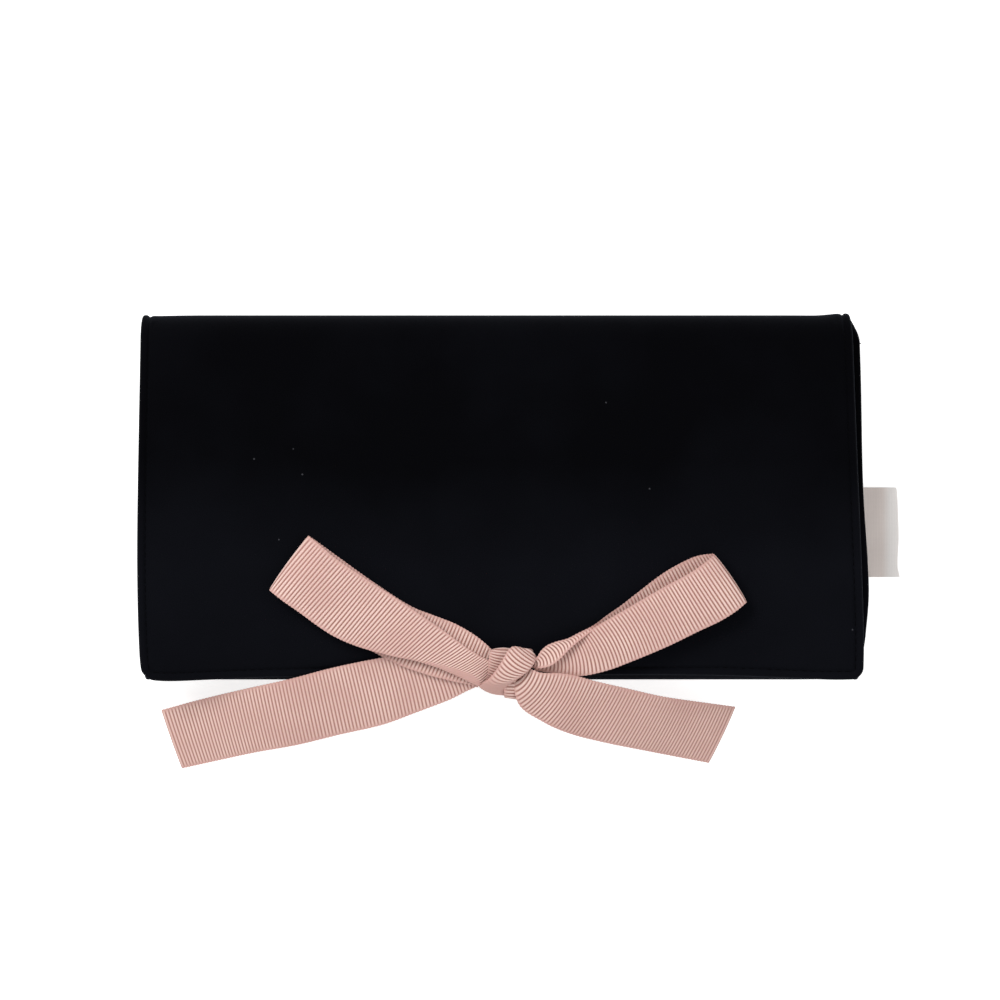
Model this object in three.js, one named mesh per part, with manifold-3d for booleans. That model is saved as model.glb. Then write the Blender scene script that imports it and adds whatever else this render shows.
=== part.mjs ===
// A jewelry roll in velvet, folded in three and tied with a grosgrain ribbon bow.
// Lengths are in millimetres. X runs along the roll, Y across it towards the top fold, Z up.
// The origin is the centre of the back panel's underside, where the closed roll lies on a table.

import * as THREE from 'three';
import { mergeVertices } from 'three/addons/utils/BufferGeometryUtils.js';
import Module from 'manifold-3d';

const wasm = await Module();
wasm.setup();

// Folded roll
const rollWidth = 240;
const foldedDepth = 120;
const pieceGap = 0.3;

// Velvet, lining and their hems
const coverThickness = 1.1;
const liningThickness = 0.75;
const stitchInset = 2.7;
const hemPuff = 0.2;
const crownRun = 22;
const foldRun = 10;
const cornerRadius = 4;
const waddingInset = 7;
const waddingStationShares = [0, 0.08, 0.2, 0.5, 0.8, 0.92, 1];

// Padding of the three panels, outside and inside their seams
const backOuterCrown = 1.2;
const backInnerCrown = 1.65;
const tuckOuterCrown = 2.9;
const tuckInnerCrown = 0.55;
const flapOuterCrown = 3.1;
const flapInnerCrown = 0.55;

// Spaces between the closed panels
const zipSpace = 8;
const flapSpace = 1.5;

// Folds
const topFoldRadius = 9;
const lowerFoldRadius = 7;
const foldSteps = 4;

// Panels that are narrower than the back
const flapLeftInset = 0.55;
const flapRightInset = 1.95;
const tuckWidthInset = 2;
const tuckClearance = 6;

// Zip pockets
const zipSideInset = 22;
const tapeWidth = 16;
const tapeThickness = 0.4;
const coilWidth = 3.2;
const coilHeight = 1.1;
const stopLength = 2.4;
const stopWidth = 4.4;
const pocketThickness = 0.7;
const backZipInset = 54;
const tuckZipInset = 12;
const flapZipInset = 46;
const flapPocketDepth = 41;

// Zip slider and pull
const sliderLength = 8;
const sliderWall = 0.7;
const pinRadius = 0.35;
const eyeWall = 0.45;
const eyeWidth = 3;
const postWidth = 0.8;
const postTop = 0.7;
const pullLength = 14;
const pullWidth = 4.4;
const pullThickness = 0.8;

// Ring roll with its tab and press stud
const ringRollDiameter = 13.6;
const ringRollLeftInset = 22;
const ringRollRightInset = 36;
const ringRollInset = 30;
const gatherLength = 4;
const gatherShares = [[0.72, 0], [0.92, 0.3], [0.98, 1]];
const anchorLength = 12;
const anchorRise = 4;
const tabWidth = 11;
const tabThickness = 1;
const tabLength = 22;
const studOffset = 14;
const studDiameter = 9;
const studThickness = 0.9;
const nubDiameter = 3.6;
const nubHeight = 1.5;
const socketDiameter = 9.6;
const socketHeight = 1.8;
const capDiameter = 11;
const capHeight = 1.5;
const capDomeShares = [[1, 0], [0.94, 0.55], [0.6, 1]];
const roundSides = 20;
const pinSides = 12;

// Woven label in the right seam
const labelReach = 9.6;
const labelLength = 30;
const labelThickness = 0.5;
const labelOffset = -11.2;

// Ribbon and bow
const ribbonWidth = 20.5;
const ribbonThickness = 0.8;
const knotX = 2.3;
const knotInset = 3.2;
const knotTurn = 51;
const knotHalfLength = 9.2;
const knotHalfHeight = 4.3;
const knotWidth = 9;
const knotSeat = 1.6;
const knotSides = 14;
const loopHeight = 8;
const leftLoopReach = 81;
const leftLoopHeading = 153.9;
const rightLoopReach = 79;
const rightLoopHeading = 22.7;
const loopSteps = 26;
const leftTailReach = 113;
const leftTailHeading = 191.5;
const leftTailSteps = 16;
const rightTailReach = 73;
const rightTailHeading = -16.8;
const rightTailSteps = 14;

// The ribbon's two sewn ends
const leadWidth = 12;
const leadOffset = 2;
const leadSpacing = 0.9;
const leadOver = 0.2;
const leadFoot = 5.6;
const leadBend = 11.2;
const leadSteps = 6;

// Colours, read from the photograph where it shows the piece
const velvet = { color: 0x14151a, roughness: 0.95, metalness: 0 };
const satin = { color: 0xd9aeb0, roughness: 0.45, metalness: 0 };
const padding = { color: 0xf1efe9, roughness: 1, metalness: 0 };
const tapeCloth = { color: 0x1b1b1f, roughness: 0.85, metalness: 0 };
const nylon = { color: 0x222226, roughness: 0.5, metalness: 0 };
const rosyBrass = { color: 0xc99a7c, roughness: 0.3, metalness: 1 };
const grosgrain = { color: 0xd9aca2, roughness: 0.8, metalness: 0 };
const wovenCream = { color: 0xeee3dc, roughness: 0.9, metalness: 0 };

const object = new THREE.Group();

// Every piece is one named mesh in the object's own frame.
function addPiece(name, geometry, finish) {
  const mesh = new THREE.Mesh(geometry, new THREE.MeshStandardMaterial(finish));
  mesh.name = name;
  object.add(mesh);
}

// A closed mesh keeps shared corners and points its faces outwards.
function closedGeometry(points, faces) {
  let volume = 0;
  for (const [a, b, c] of faces) {
    const p = new THREE.Vector3(...points[a]);
    const q = new THREE.Vector3(...points[b]);
    const r = new THREE.Vector3(...points[c]);
    volume += p.dot(q.cross(r));
  }
  const index = [];
  for (const [a, b, c] of faces) {
    index.push(...(volume > 0 ? [a, b, c] : [a, c, b]));
  }
  const geometry = new THREE.BufferGeometry();
  geometry.setAttribute('position', new THREE.Float32BufferAttribute(points.flat(), 3));
  geometry.setIndex(index);
  return geometry;
}

// Two grids of points, row by row, become the two faces of a closed sheet.
function sheetSolid(outerRows, innerRows) {
  const rows = outerRows.length;
  const columns = outerRows[0].length;
  const points = [...outerRows.flat(), ...innerRows.flat()];
  const outer = (i, k) => i * columns + k;
  const inner = (i, k) => rows * columns + i * columns + k;
  const faces = [];
  const quad = (a, b, c, d) => faces.push([a, b, c], [a, c, d]);
  for (let i = 0; i + 1 < rows; i += 1) {
    for (let k = 0; k + 1 < columns; k += 1) {
      quad(outer(i, k), outer(i + 1, k), outer(i + 1, k + 1), outer(i, k + 1));
      quad(inner(i, k), inner(i, k + 1), inner(i + 1, k + 1), inner(i + 1, k));
    }
    quad(outer(i + 1, 0), outer(i, 0), inner(i, 0), inner(i + 1, 0));
    const last = columns - 1;
    quad(outer(i, last), outer(i + 1, last), inner(i + 1, last), inner(i, last));
  }
  const end = rows - 1;
  for (let k = 0; k + 1 < columns; k += 1) {
    quad(outer(0, k), outer(0, k + 1), inner(0, k + 1), inner(0, k));
    quad(outer(end, k + 1), outer(end, k), inner(end, k), inner(end, k + 1));
  }
  return closedGeometry(points, faces);
}

// A sheet from its two edges in a plane across the roll, one pair at each station along X
function loftSections(stations, railsAt) {
  const rowsOf = (name) => stations.map((x) => railsAt(x)[name].map(([y, z]) => [x, y, z]));
  return sheetSolid(rowsOf('outer'), rowsOf('inner'));
}

// An outline in Y and Z, drawn out along X
function prismAlongX(outline, x0, x1) {
  const shape = new THREE.Shape(outline.map(([y, z]) => new THREE.Vector2(y, z)));
  const geometry = new THREE.ExtrudeGeometry(shape, { depth: x1 - x0, bevelEnabled: false });
  geometry.applyMatrix4(new THREE.Matrix4().makeBasis(
    new THREE.Vector3(0, 1, 0),
    new THREE.Vector3(0, 0, 1),
    new THREE.Vector3(1, 0, 0),
  ));
  geometry.translate(x0, 0, 0);
  return geometry;
}

function boxGeometry(low, high) {
  const size = high.map((value, i) => value - low[i]);
  const geometry = new THREE.BoxGeometry(...size);
  geometry.translate(...low.map((value, i) => value + size[i] / 2));
  return geometry;
}

// Manifold solids for cuts and joins
function toSolid(geometry) {
  const plain = geometry.index ? geometry.toNonIndexed() : geometry.clone();
  plain.deleteAttribute('normal');
  plain.deleteAttribute('uv');
  const merged = mergeVertices(plain);
  return new wasm.Manifold(new wasm.Mesh({
    numProp: 3,
    vertProperties: new Float32Array(merged.attributes.position.array),
    triVerts: new Uint32Array(merged.index.array),
  }));
}

function fromSolid(solid) {
  const mesh = solid.getMesh();
  const geometry = new THREE.BufferGeometry();
  geometry.setAttribute('position', new THREE.BufferAttribute(mesh.vertProperties, 3));
  geometry.setIndex(new THREE.BufferAttribute(mesh.triVerts, 1));
  return geometry;
}

// Distances shared by every panel
const hemOuter = coverThickness + pieceGap / 2;
const hemInner = liningThickness + pieceGap / 2;
const lowerEdge = -foldedDepth / 2;
const upperEdge = foldedDepth / 2;
const topTangent = upperEdge - topFoldRadius;
const lowerTangent = lowerEdge + lowerFoldRadius;
const cornerRun = stitchInset + cornerRadius / 2;
const zipLength = rollWidth - zipSideInset * 2;
const backLane = upperEdge - backZipInset;

// The three panels, stacked from the table up
const backPanel = {
  outward: -1,
  seam: hemOuter + backOuterCrown,
  outerCrown: backOuterCrown,
  innerCrown: backInnerCrown,
  left: -rollWidth / 2,
  right: rollWidth / 2,
  topFold: topTangent,
  lowerFold: lowerTangent,
};
const backFace = backPanel.seam + hemInner + backInnerCrown;
const tuckPanel = {
  outward: 1,
  seam: backFace + zipSpace + hemInner + tuckInnerCrown,
  outerCrown: tuckOuterCrown,
  innerCrown: tuckInnerCrown,
  left: tuckWidthInset - rollWidth / 2,
  right: rollWidth / 2 - tuckWidthInset,
  lowerFold: lowerTangent,
  freeEdge: backLane - tuckClearance,
  inwards: -1,
};
const tuckTop = tuckPanel.seam + hemOuter + tuckOuterCrown;
const flapPanel = {
  outward: 1,
  seam: tuckTop + flapSpace + hemInner + flapInnerCrown,
  outerCrown: flapOuterCrown,
  innerCrown: flapInnerCrown,
  left: flapLeftInset - rollWidth / 2,
  right: rollWidth / 2 - flapRightInset,
  topFold: topTangent,
  freeEdge: lowerEdge,
  inwards: 1,
};
const flapHem = flapPanel.seam + hemOuter;
const flapTop = flapHem + flapOuterCrown;

// A crown is full once it is a run away from where it starts.
function rise(distance, run) {
  const share = Math.min(Math.max(distance / run, 0), 1);
  return 1 - (1 - share) ** 3;
}

// Heights of a panel's layers from its seam, outwards, at one place
function layersAt(panel, x, y) {
  const sideInset = Math.min(x - panel.left, panel.right - x);
  const freeInset = panel.freeEdge === undefined ? Infinity : Math.abs(y - panel.freeEdge);
  const topInset = panel.topFold === undefined ? Infinity : panel.topFold - y;
  const lowerInset = panel.lowerFold === undefined ? Infinity : y - panel.lowerFold;
  const nearFold = 1 - rise(Math.min(topInset, lowerInset), foldRun);
  const fromHems = rise(sideInset - stitchInset, crownRun) * rise(freeInset - stitchInset, crownRun);
  const hemShare = Math.min(sideInset, freeInset) / stitchInset;
  const puff = hemShare < 1 ? hemPuff * Math.sin(Math.PI * hemShare) * (1 - nearFold) : 0;
  const crown = fromHems + (1 - fromHems) * nearFold;
  const coverOuter = hemOuter + panel.outerCrown * crown + puff;
  const coverInner = coverOuter - coverThickness;
  const insideLining = -pieceGap / 2 - panel.innerCrown * fromHems;
  const liningOuter = (coverInner - pieceGap) * nearFold + insideLining * (1 - nearFold);
  return { coverOuter, coverInner, liningOuter, liningInner: liningOuter - liningThickness };
}

// Stations run close together at the hems, where the surface bends most.
function hemStations(low, high, lowIsHem, highIsHem) {
  const insets = [0, stitchInset / 2, stitchInset, cornerRun];
  insets.push(stitchInset + crownRun / 4, stitchInset + crownRun / 2, stitchInset + crownRun);
  const foldInsets = [0, foldRun / 3, (foldRun * 2) / 3, foldRun];
  const lowInsets = lowIsHem ? insets : foldInsets;
  const highInsets = highIsHem ? insets : foldInsets;
  return [
    ...lowInsets.map((inset) => low + inset),
    ...highInsets.map((inset) => high - inset).reverse(),
  ];
}

// Corners of the free edge are rounded by drawing the hem stations inwards.
function roundedStations(panel, x, stations) {
  if (panel.freeEdge === undefined) {
    return stations;
  }
  const sideInset = Math.min(x - panel.left, panel.right - x);
  const reach = Math.max(cornerRadius - sideInset, 0);
  const drawn = cornerRadius - Math.sqrt(cornerRadius ** 2 - reach ** 2);
  return stations.map((y) => {
    const inset = Math.abs(y - panel.freeEdge);
    const moved = Math.max(1 - inset / cornerRun, 0) * drawn;
    return y + panel.inwards * moved;
  });
}

// Half of a fold's bend, from the panel's tangent line to the middle of the corner
function halfBend(panel, tangent, side, radius, level) {
  const centre = panel.seam + panel.outward * (hemOuter + panel.outerCrown - radius);
  const split = Math.PI / 4 - pieceGap / 2 / radius;
  const points = [];
  for (let i = 1; i <= foldSteps / 2; i += 1) {
    const angle = (split * i) / (foldSteps / 2);
    points.push([
      tangent + side * level * Math.sin(angle),
      centre + panel.outward * level * Math.cos(angle),
    ]);
  }
  return points;
}

// One layer of a panel between two of its heights, with its half of each fold's bend
function panelLayer(panel, outerName, innerName, depth) {
  const xs = hemStations(panel.left, panel.right, true, true);
  const low = panel.lowerFold === undefined ? panel.freeEdge : panel.lowerFold;
  const high = panel.topFold === undefined ? panel.freeEdge : panel.topFold;
  const ys = hemStations(low, high, low === panel.freeEdge, high === panel.freeEdge);
  const railAt = (x, name, layerDepth) => {
    const rail = roundedStations(panel, x, ys)
      .map((y) => [y, panel.seam + panel.outward * layersAt(panel, x, y)[name]]);
    const bend = (tangent, side, radius) => halfBend(panel, tangent, side, radius, radius - layerDepth);
    const before = panel.lowerFold === undefined ? [] : bend(low, -1, lowerFoldRadius).reverse();
    const after = panel.topFold === undefined ? [] : bend(high, 1, topFoldRadius);
    return [...before, ...rail, ...after];
  };
  return loftSections(xs, (x) => ({
    outer: railAt(x, outerName, depth.outer),
    inner: railAt(x, innerName, depth.inner),
  }));
}

const coverDepth = { outer: 0, inner: coverThickness };
const liningDepth = {
  outer: coverThickness + pieceGap,
  inner: coverThickness + pieceGap + liningThickness,
};

// Wadding fills a panel between its cover and lining, clear of hems and folds.
function waddingSheet(panel) {
  const low = panel.lowerFold === undefined ? panel.freeEdge : panel.lowerFold;
  const high = panel.topFold === undefined ? panel.freeEdge : panel.topFold;
  const spread = (from, to) => waddingStationShares.map((share) => from + share * (to - from));
  const xs = spread(panel.left + waddingInset, panel.right - waddingInset);
  const ys = spread(low + waddingInset, high - waddingInset);
  return loftSections(xs, (x) => ({
    outer: ys.map((y) => [
      y,
      panel.seam + panel.outward * (layersAt(panel, x, y).coverInner - pieceGap),
    ]),
    inner: ys.map((y) => [
      y,
      panel.seam + panel.outward * (layersAt(panel, x, y).liningOuter + pieceGap),
    ]),
  }));
}

// The narrow body inside a fold: half a bend, a straight wall and half a bend
function foldLayer(tangent, side, radius, topLevel, outerDepth, innerDepth) {
  const split = Math.PI / 4 + pieceGap / 2 / radius;
  const railAt = (depth) => {
    const points = [];
    const level = radius - depth;
    for (let i = 0; i <= foldSteps / 2; i += 1) {
      const angle = split + ((Math.PI / 2 - split) * i) / (foldSteps / 2);
      points.push([tangent + side * level * Math.sin(angle), radius - level * Math.cos(angle)]);
    }
    const upper = points.map(([y, z]) => [y, topLevel - z]).reverse();
    return [...points, ...upper];
  };
  return loftSections([flapPanel.left, flapPanel.right], () => ({
    outer: railAt(outerDepth),
    inner: railAt(innerDepth),
  }));
}

// Back panel
addPiece('back_cover', panelLayer(backPanel, 'coverOuter', 'coverInner', coverDepth), velvet);
addPiece('back_wadding', waddingSheet(backPanel), padding);
addPiece('back_lining', panelLayer(backPanel, 'liningOuter', 'liningInner', liningDepth), satin);

// Folds
function addFold(name, tangent, side, radius, topLevel) {
  const cover = foldLayer(tangent, side, radius, topLevel, coverDepth.outer, coverDepth.inner);
  const lining = foldLayer(tangent, side, radius, topLevel, liningDepth.outer, liningDepth.inner);
  addPiece(`${name}_cover`, cover, velvet);
  addPiece(`${name}_lining`, lining, satin);
}
addFold('top_spine', topTangent, 1, topFoldRadius, flapTop);
addFold('bottom_spine', lowerTangent, -1, lowerFoldRadius, tuckTop);

// Tuck
addPiece('tuck_cover', panelLayer(tuckPanel, 'coverOuter', 'coverInner', coverDepth), velvet);
addPiece('tuck_wadding', waddingSheet(tuckPanel), padding);
addPiece('tuck_lining', panelLayer(tuckPanel, 'liningOuter', 'liningInner', liningDepth), satin);

// Flap
addPiece('flap_cover', panelLayer(flapPanel, 'coverOuter', 'coverInner', coverDepth), velvet);
addPiece('flap_wadding', waddingSheet(flapPanel), padding);
addPiece('flap_lining', panelLayer(flapPanel, 'liningOuter', 'liningInner', liningDepth), satin);

// Heights above a panel's lining, into the space that the lining faces
function liningLevels(panel) {
  const face = panel.seam - panel.outward * (hemInner + panel.innerCrown);
  return (height) => face - panel.outward * height;
}

// A block between two heights above a lining
function blockOn(level, [x0, x1], [y0, y1], [h0, h1]) {
  const [z0, z1] = [level(h0), level(h1)].sort((a, b) => a - b);
  return boxGeometry([x0, y0, z0], [x1, y1, z1]);
}

// Heights of a zip's parts above the lining, and the slider's place at its left stop
const coilReach = zipLength / 2 - stopLength - pieceGap;
const plateBottom = tapeThickness + coilHeight + pieceGap;
const plateTop = plateBottom + sliderWall;
const eyeRadius = pinRadius + pieceGap + eyeWall;
const pinLevel = plateTop + pieceGap + eyeRadius;
const sliderHalfWidth = coilWidth / 2 + pieceGap + sliderWall;
const sliderX = -coilReach + sliderLength / 2;

// Zip coil: a rounded bar along X over the tape
function coilOn(level, lane) {
  const half = coilWidth / 2;
  const shoulder = coilHeight / 2;
  const outline = [
    [-half, tapeThickness],
    [half, tapeThickness],
    [half, tapeThickness + shoulder],
    [half / 2, tapeThickness + coilHeight],
    [-half / 2, tapeThickness + coilHeight],
    [-half, tapeThickness + shoulder],
  ];
  const across = outline.map(([y, h]) => [lane + y, level(h)]);
  return prismAlongX(across, -coilReach, coilReach);
}

function cylinderAlongY(radius, length, x, y, z) {
  const geometry = new THREE.CylinderGeometry(radius, radius, length, pinSides);
  geometry.translate(x, y, z);
  return geometry;
}

// The slider straddles the coil and carries the pull's pin between two posts.
function sliderOn(level, lane) {
  const ends = [sliderX - sliderLength / 2, sliderX + sliderLength / 2];
  const plateSides = [lane - sliderHalfWidth, lane + sliderHalfWidth];
  let slider = toSolid(blockOn(level, ends, plateSides, [plateBottom, plateTop]));
  const postInset = eyeWidth / 2 + pieceGap;
  for (const side of [-1, 1]) {
    const flange = [lane + side * sliderHalfWidth, lane + side * (sliderHalfWidth - sliderWall)];
    const flangeHeights = [tapeThickness + pieceGap, plateTop];
    slider = slider.add(toSolid(blockOn(level, ends, flange.sort((a, b) => a - b), flangeHeights)));
    const post = [lane + side * postInset, lane + side * (postInset + postWidth)];
    const postEnds = [sliderX - eyeRadius, sliderX + eyeRadius];
    const postHeights = [plateBottom, pinLevel + postTop];
    slider = slider.add(toSolid(blockOn(level, postEnds, post.sort((a, b) => a - b), postHeights)));
  }
  const pinLength = postInset * 2 + postWidth;
  const pin = cylinderAlongY(pinRadius, pinLength, sliderX, lane, level(pinLevel));
  return fromSolid(slider.add(toSolid(pin)));
}

// The pull's eye turns on the pin, and its bar lies back along the coil.
function pullOn(level, lane) {
  const eye = toSolid(cylinderAlongY(eyeRadius, eyeWidth, sliderX, lane, level(pinLevel)));
  const thickness = [pinLevel - pullThickness / 2, pinLevel + pullThickness / 2];
  const neck = [sliderX, sliderX + sliderLength / 2 + pieceGap];
  const tip = [neck[1], sliderX + pullLength];
  const neckBlock = blockOn(level, neck, [lane - eyeWidth / 2, lane + eyeWidth / 2], thickness);
  const tipBlock = blockOn(level, tip, [lane - pullWidth / 2, lane + pullWidth / 2], thickness);
  const hole = cylinderAlongY(pinRadius + pieceGap, eyeWidth * 2, sliderX, lane, level(pinLevel));
  return fromSolid(eye.add(toSolid(neckBlock)).add(toSolid(tipBlock)).subtract(toSolid(hole)));
}

// A zip pocket: tape and coil along the lane, and a satin front from the tape to the pocket's foot
function addZipPocket(name, panel, lane, foot) {
  const level = liningLevels(panel);
  const length = [-zipLength / 2, zipLength / 2];
  const tape = [lane - tapeWidth / 2, lane + tapeWidth / 2];
  addPiece(`${name}_zip_tape`, blockOn(level, length, tape, [0, tapeThickness]), tapeCloth);
  addPiece(`${name}_zip_coil`, coilOn(level, lane), nylon);
  for (const [end, side] of [['left', -1], ['right', 1]]) {
    const reach = [side * (coilReach + pieceGap), (side * zipLength) / 2].sort((a, b) => a - b);
    const width = [lane - stopWidth / 2, lane + stopWidth / 2];
    const stop = blockOn(level, reach, width, [tapeThickness, tapeThickness + coilHeight]);
    addPiece(`${name}_zip_stop_${end}`, stop, rosyBrass);
  }
  const front = blockOn(level, length, [foot, tape[0]], [0, pocketThickness]);
  addPiece(`${name}_pocket_front`, front, satin);
  addPiece(`${name}_slider`, sliderOn(level, lane), rosyBrass);
  addPiece(`${name}_pull`, pullOn(level, lane), rosyBrass);
}
const pocketFoot = lowerTangent + foldRun;
addZipPocket('back', backPanel, backLane, pocketFoot);
addZipPocket('tuck', tuckPanel, tuckPanel.freeEdge - tuckZipInset, pocketFoot);
const flapLane = upperEdge - flapZipInset;
addZipPocket('flap', flapPanel, flapLane, flapLane - tapeWidth / 2 - flapPocketDepth);

// Ring roll: a gathered, padded tube on the back lining
const backLevel = liningLevels(backPanel);
const ringY = upperEdge - ringRollInset;
const ringRadius = ringRollDiameter / 2;
const ringZ = backLevel(pieceGap + ringRadius);
const ringLeft = ringRollLeftInset - rollWidth / 2;
const ringRight = rollWidth / 2 - ringRollRightInset;
const ringLength = ringRight - ringLeft;
function ringRollTube() {
  const gather = gatherShares.map(([round, along]) => [ringRadius * round, gatherLength * along]);
  const half = [[0, 0], ...gather, [ringRadius, ringLength / 4]];
  const profile = half.map(([r, x]) => new THREE.Vector2(r, x));
  const mirrored = half.map(([r, x]) => new THREE.Vector2(r, ringLength - x)).reverse();
  const geometry = new THREE.LatheGeometry([...profile, ...mirrored], roundSides);
  geometry.rotateZ(-Math.PI / 2);
  geometry.translate(ringLeft, ringY, ringZ);
  return geometry;
}
addPiece('ring_roll', ringRollTube(), satin);

// The roll's left end is sewn to a cloth tab that turns up against it.
const anchorWide = [ringY - tabWidth / 2, ringY + tabWidth / 2];
const anchorEnd = ringLeft - pieceGap;
const anchorFoot = [anchorEnd - anchorLength, anchorEnd];
const anchorWall = [anchorEnd - tabThickness, anchorEnd];
const anchorFlat = blockOn(backLevel, anchorFoot, anchorWide, [0, tabThickness]);
const anchorRiser = blockOn(backLevel, anchorWall, anchorWide, [0, anchorRise]);
addPiece('ring_anchor_tab', fromSolid(toSolid(anchorFlat).add(toSolid(anchorRiser))), satin);

// Its right end has a tab with a press stud.
const studX = ringRight + studOffset;
const socketLow = studThickness + pieceGap;
const tabLow = socketLow + socketHeight;
function discOn(diameter, heights) {
  const low = Math.min(backLevel(heights[0]), backLevel(heights[1]));
  const depth = Math.abs(backLevel(heights[1]) - backLevel(heights[0]));
  const geometry = new THREE.CylinderGeometry(diameter / 2, diameter / 2, depth, roundSides);
  geometry.rotateX(Math.PI / 2);
  geometry.translate(studX, ringY, low + depth / 2);
  return geometry;
}
const studPlate = toSolid(discOn(studDiameter, [0, studThickness]));
const nub = toSolid(discOn(nubDiameter, [0, studThickness + nubHeight]));
addPiece('snap_stud', fromSolid(studPlate.add(nub)), rosyBrass);
const nubHole = toSolid(discOn(nubDiameter + pieceGap * 2, [0, tabLow + pieceGap]));
const socketDisc = toSolid(discOn(socketDiameter, [socketLow, tabLow]));
addPiece('snap_socket', fromSolid(socketDisc.subtract(nubHole)), rosyBrass);
const tabHeights = [tabLow, tabLow + tabThickness];
const tabEnds = [ringRight + pieceGap, ringRight + tabLength];
addPiece('ring_roll_tab', blockOn(backLevel, tabEnds, anchorWide, tabHeights), satin);
function capDome() {
  const dome = capDomeShares.map(([round, up]) => [(capDiameter / 2) * round, capHeight * up]);
  const profile = [[0, 0], ...dome, [0, capHeight]].map(([r, h]) => new THREE.Vector2(r, h));
  const geometry = new THREE.LatheGeometry(profile, roundSides);
  geometry.rotateX(Math.PI / 2);
  geometry.translate(studX, ringY, backLevel(tabHeights[1]));
  return geometry;
}
addPiece('snap_cap', capDome(), rosyBrass);

// Side label, held in the right hem of the back panel
const labelZ = backPanel.seam - pieceGap / 2;
addPiece('side_label', boxGeometry(
  [backPanel.right + pieceGap, labelOffset - labelLength / 2, labelZ],
  [backPanel.right + pieceGap + labelReach, labelOffset + labelLength / 2, labelZ + labelThickness],
), wovenCream);

// Knot: a band of ribbon wrapped round the gathered middle of the bow
const knotY = lowerEdge + knotInset;
const knotZ = flapHem + knotSeat + knotHalfHeight;
function knotPrism(halfLength, halfHeight, width, holeBy) {
  const shape = new THREE.Shape();
  shape.absellipse(0, 0, halfLength, halfHeight, 0, Math.PI * 2);
  if (holeBy > 0) {
    const hole = new THREE.Path();
    hole.absellipse(0, 0, halfLength - holeBy, halfHeight - holeBy, 0, Math.PI * 2);
    shape.holes.push(hole);
  }
  const geometry = new THREE.ExtrudeGeometry(shape, {
    depth: width,
    bevelEnabled: false,
    curveSegments: knotSides,
  });
  geometry.translate(0, 0, -width / 2);
  geometry.rotateX(Math.PI / 2);
  geometry.rotateZ(THREE.MathUtils.degToRad(knotTurn));
  geometry.translate(knotX, knotY, knotZ);
  return geometry;
}
const coreInset = ribbonThickness + pieceGap;
const band = knotPrism(knotHalfLength, knotHalfHeight, knotWidth, ribbonThickness);
const core = knotPrism(knotHalfLength - coreInset, knotHalfHeight - coreInset, knotWidth, 0);
addPiece('bow_knot_band', band, grosgrain);
addPiece('bow_knot_core', core, grosgrain);

// A strip of ribbon between two edges, with its thickness on both sides of them
function ribbonStrip(stations, steps) {
  const edges = [1, -1].map((side) => new THREE.CatmullRomCurve3(stations.map((station) => {
    const turn = THREE.MathUtils.degToRad(station.turn);
    const half = (station.width / 2) * side;
    return new THREE.Vector3(
      station.x + Math.cos(turn) * half,
      station.y + Math.sin(turn) * half,
      station.z + station.tilt * side,
    );
  }), false, 'centripetal'));
  const acrossSteps = 2;
  const rows = [];
  for (let i = 0; i <= steps; i += 1) {
    const [a, b] = edges.map((edge) => edge.getPoint(i / steps));
    rows.push(Array.from({ length: acrossSteps + 1 }, (unused, k) => a.clone().lerp(b, k / acrossSteps)));
  }
  const offsetBy = (distance) => rows.map((row, i) => row.map((point, k) => {
    const along = rows[Math.min(i + 1, steps)][k].clone().sub(rows[Math.max(i - 1, 0)][k]);
    const across = row[acrossSteps].clone().sub(row[0]);
    const normal = along.cross(across).normalize();
    return point.clone().addScaledVector(normal, distance).toArray();
  }));
  return sheetSolid(offsetBy(ribbonThickness / 2), offsetBy(-ribbonThickness / 2));
}

// Stations of a ribbon from the knot outwards, in shares of its reach, rise and width
function ribbonFrom(heading, reach, floor, height, shares, steps) {
  const turn = THREE.MathUtils.degToRad(heading);
  return ribbonStrip(shares.map(([along, side, up, across, tilt, width]) => ({
    x: knotX + reach * (along * Math.cos(turn) - side * Math.sin(turn)),
    y: knotY + reach * (along * Math.sin(turn) + side * Math.cos(turn)),
    z: floor + up * height,
    turn: across,
    tilt: (tilt * ribbonWidth) / 2,
    width: width * ribbonWidth,
  })), steps);
}

// Each row: along, side, height, direction across in degrees, tilt and width
const leftLoopShares = [
  [0.075, 0.053, 0.42, 51, 0, 0.4],
  [0.22, 0.053, 0.52, 69, 0, 0.55],
  [0.46, 0.06, 0.66, 74, 0, 0.9],
  [0.776, 0.043, 0.82, 72, 0, 1],
  [0.95, 0.01, 0.84, 60, 0, 1],
  [1, 0, 0.5, 54, 0, 1],
  [0.95, -0.005, 0.16, 55, 0, 1],
  [0.74, 0.01, 0.12, 60, 0, 1],
  [0.46, 0.02, 0.2, 64, 0, 0.9],
  [0.25, 0.015, 0.2, 62, 0, 0.65],
  [0.085, 0.005, 0.18, 51, 0, 0.4],
];
const rightLoopShares = [
  [0.06, -0.043, 0.3, 51, 0, 0.4],
  [0.2, -0.072, 0.3, 100, 0.03, 0.45],
  [0.316, -0.075, 0.4, 122, 0.06, 0.5],
  [0.525, -0.063, 0.68, 119, 0, 0.8],
  [0.804, -0.034, 0.82, 122, 0, 0.92],
  [0.95, -0.005, 0.84, 123, 0, 0.97],
  [1, 0, 0.5, 124, 0, 0.97],
  [0.955, 0.01, 0.16, 122, 0, 0.97],
  [0.72, 0.01, 0.12, 118, 0, 0.95],
  [0.45, -0.015, 0.12, 114, 0, 0.85],
  [0.25, -0.025, 0.12, 100, 0, 0.6],
  [0.087, -0.028, 0.12, 51, 0, 0.4],
];
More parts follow.
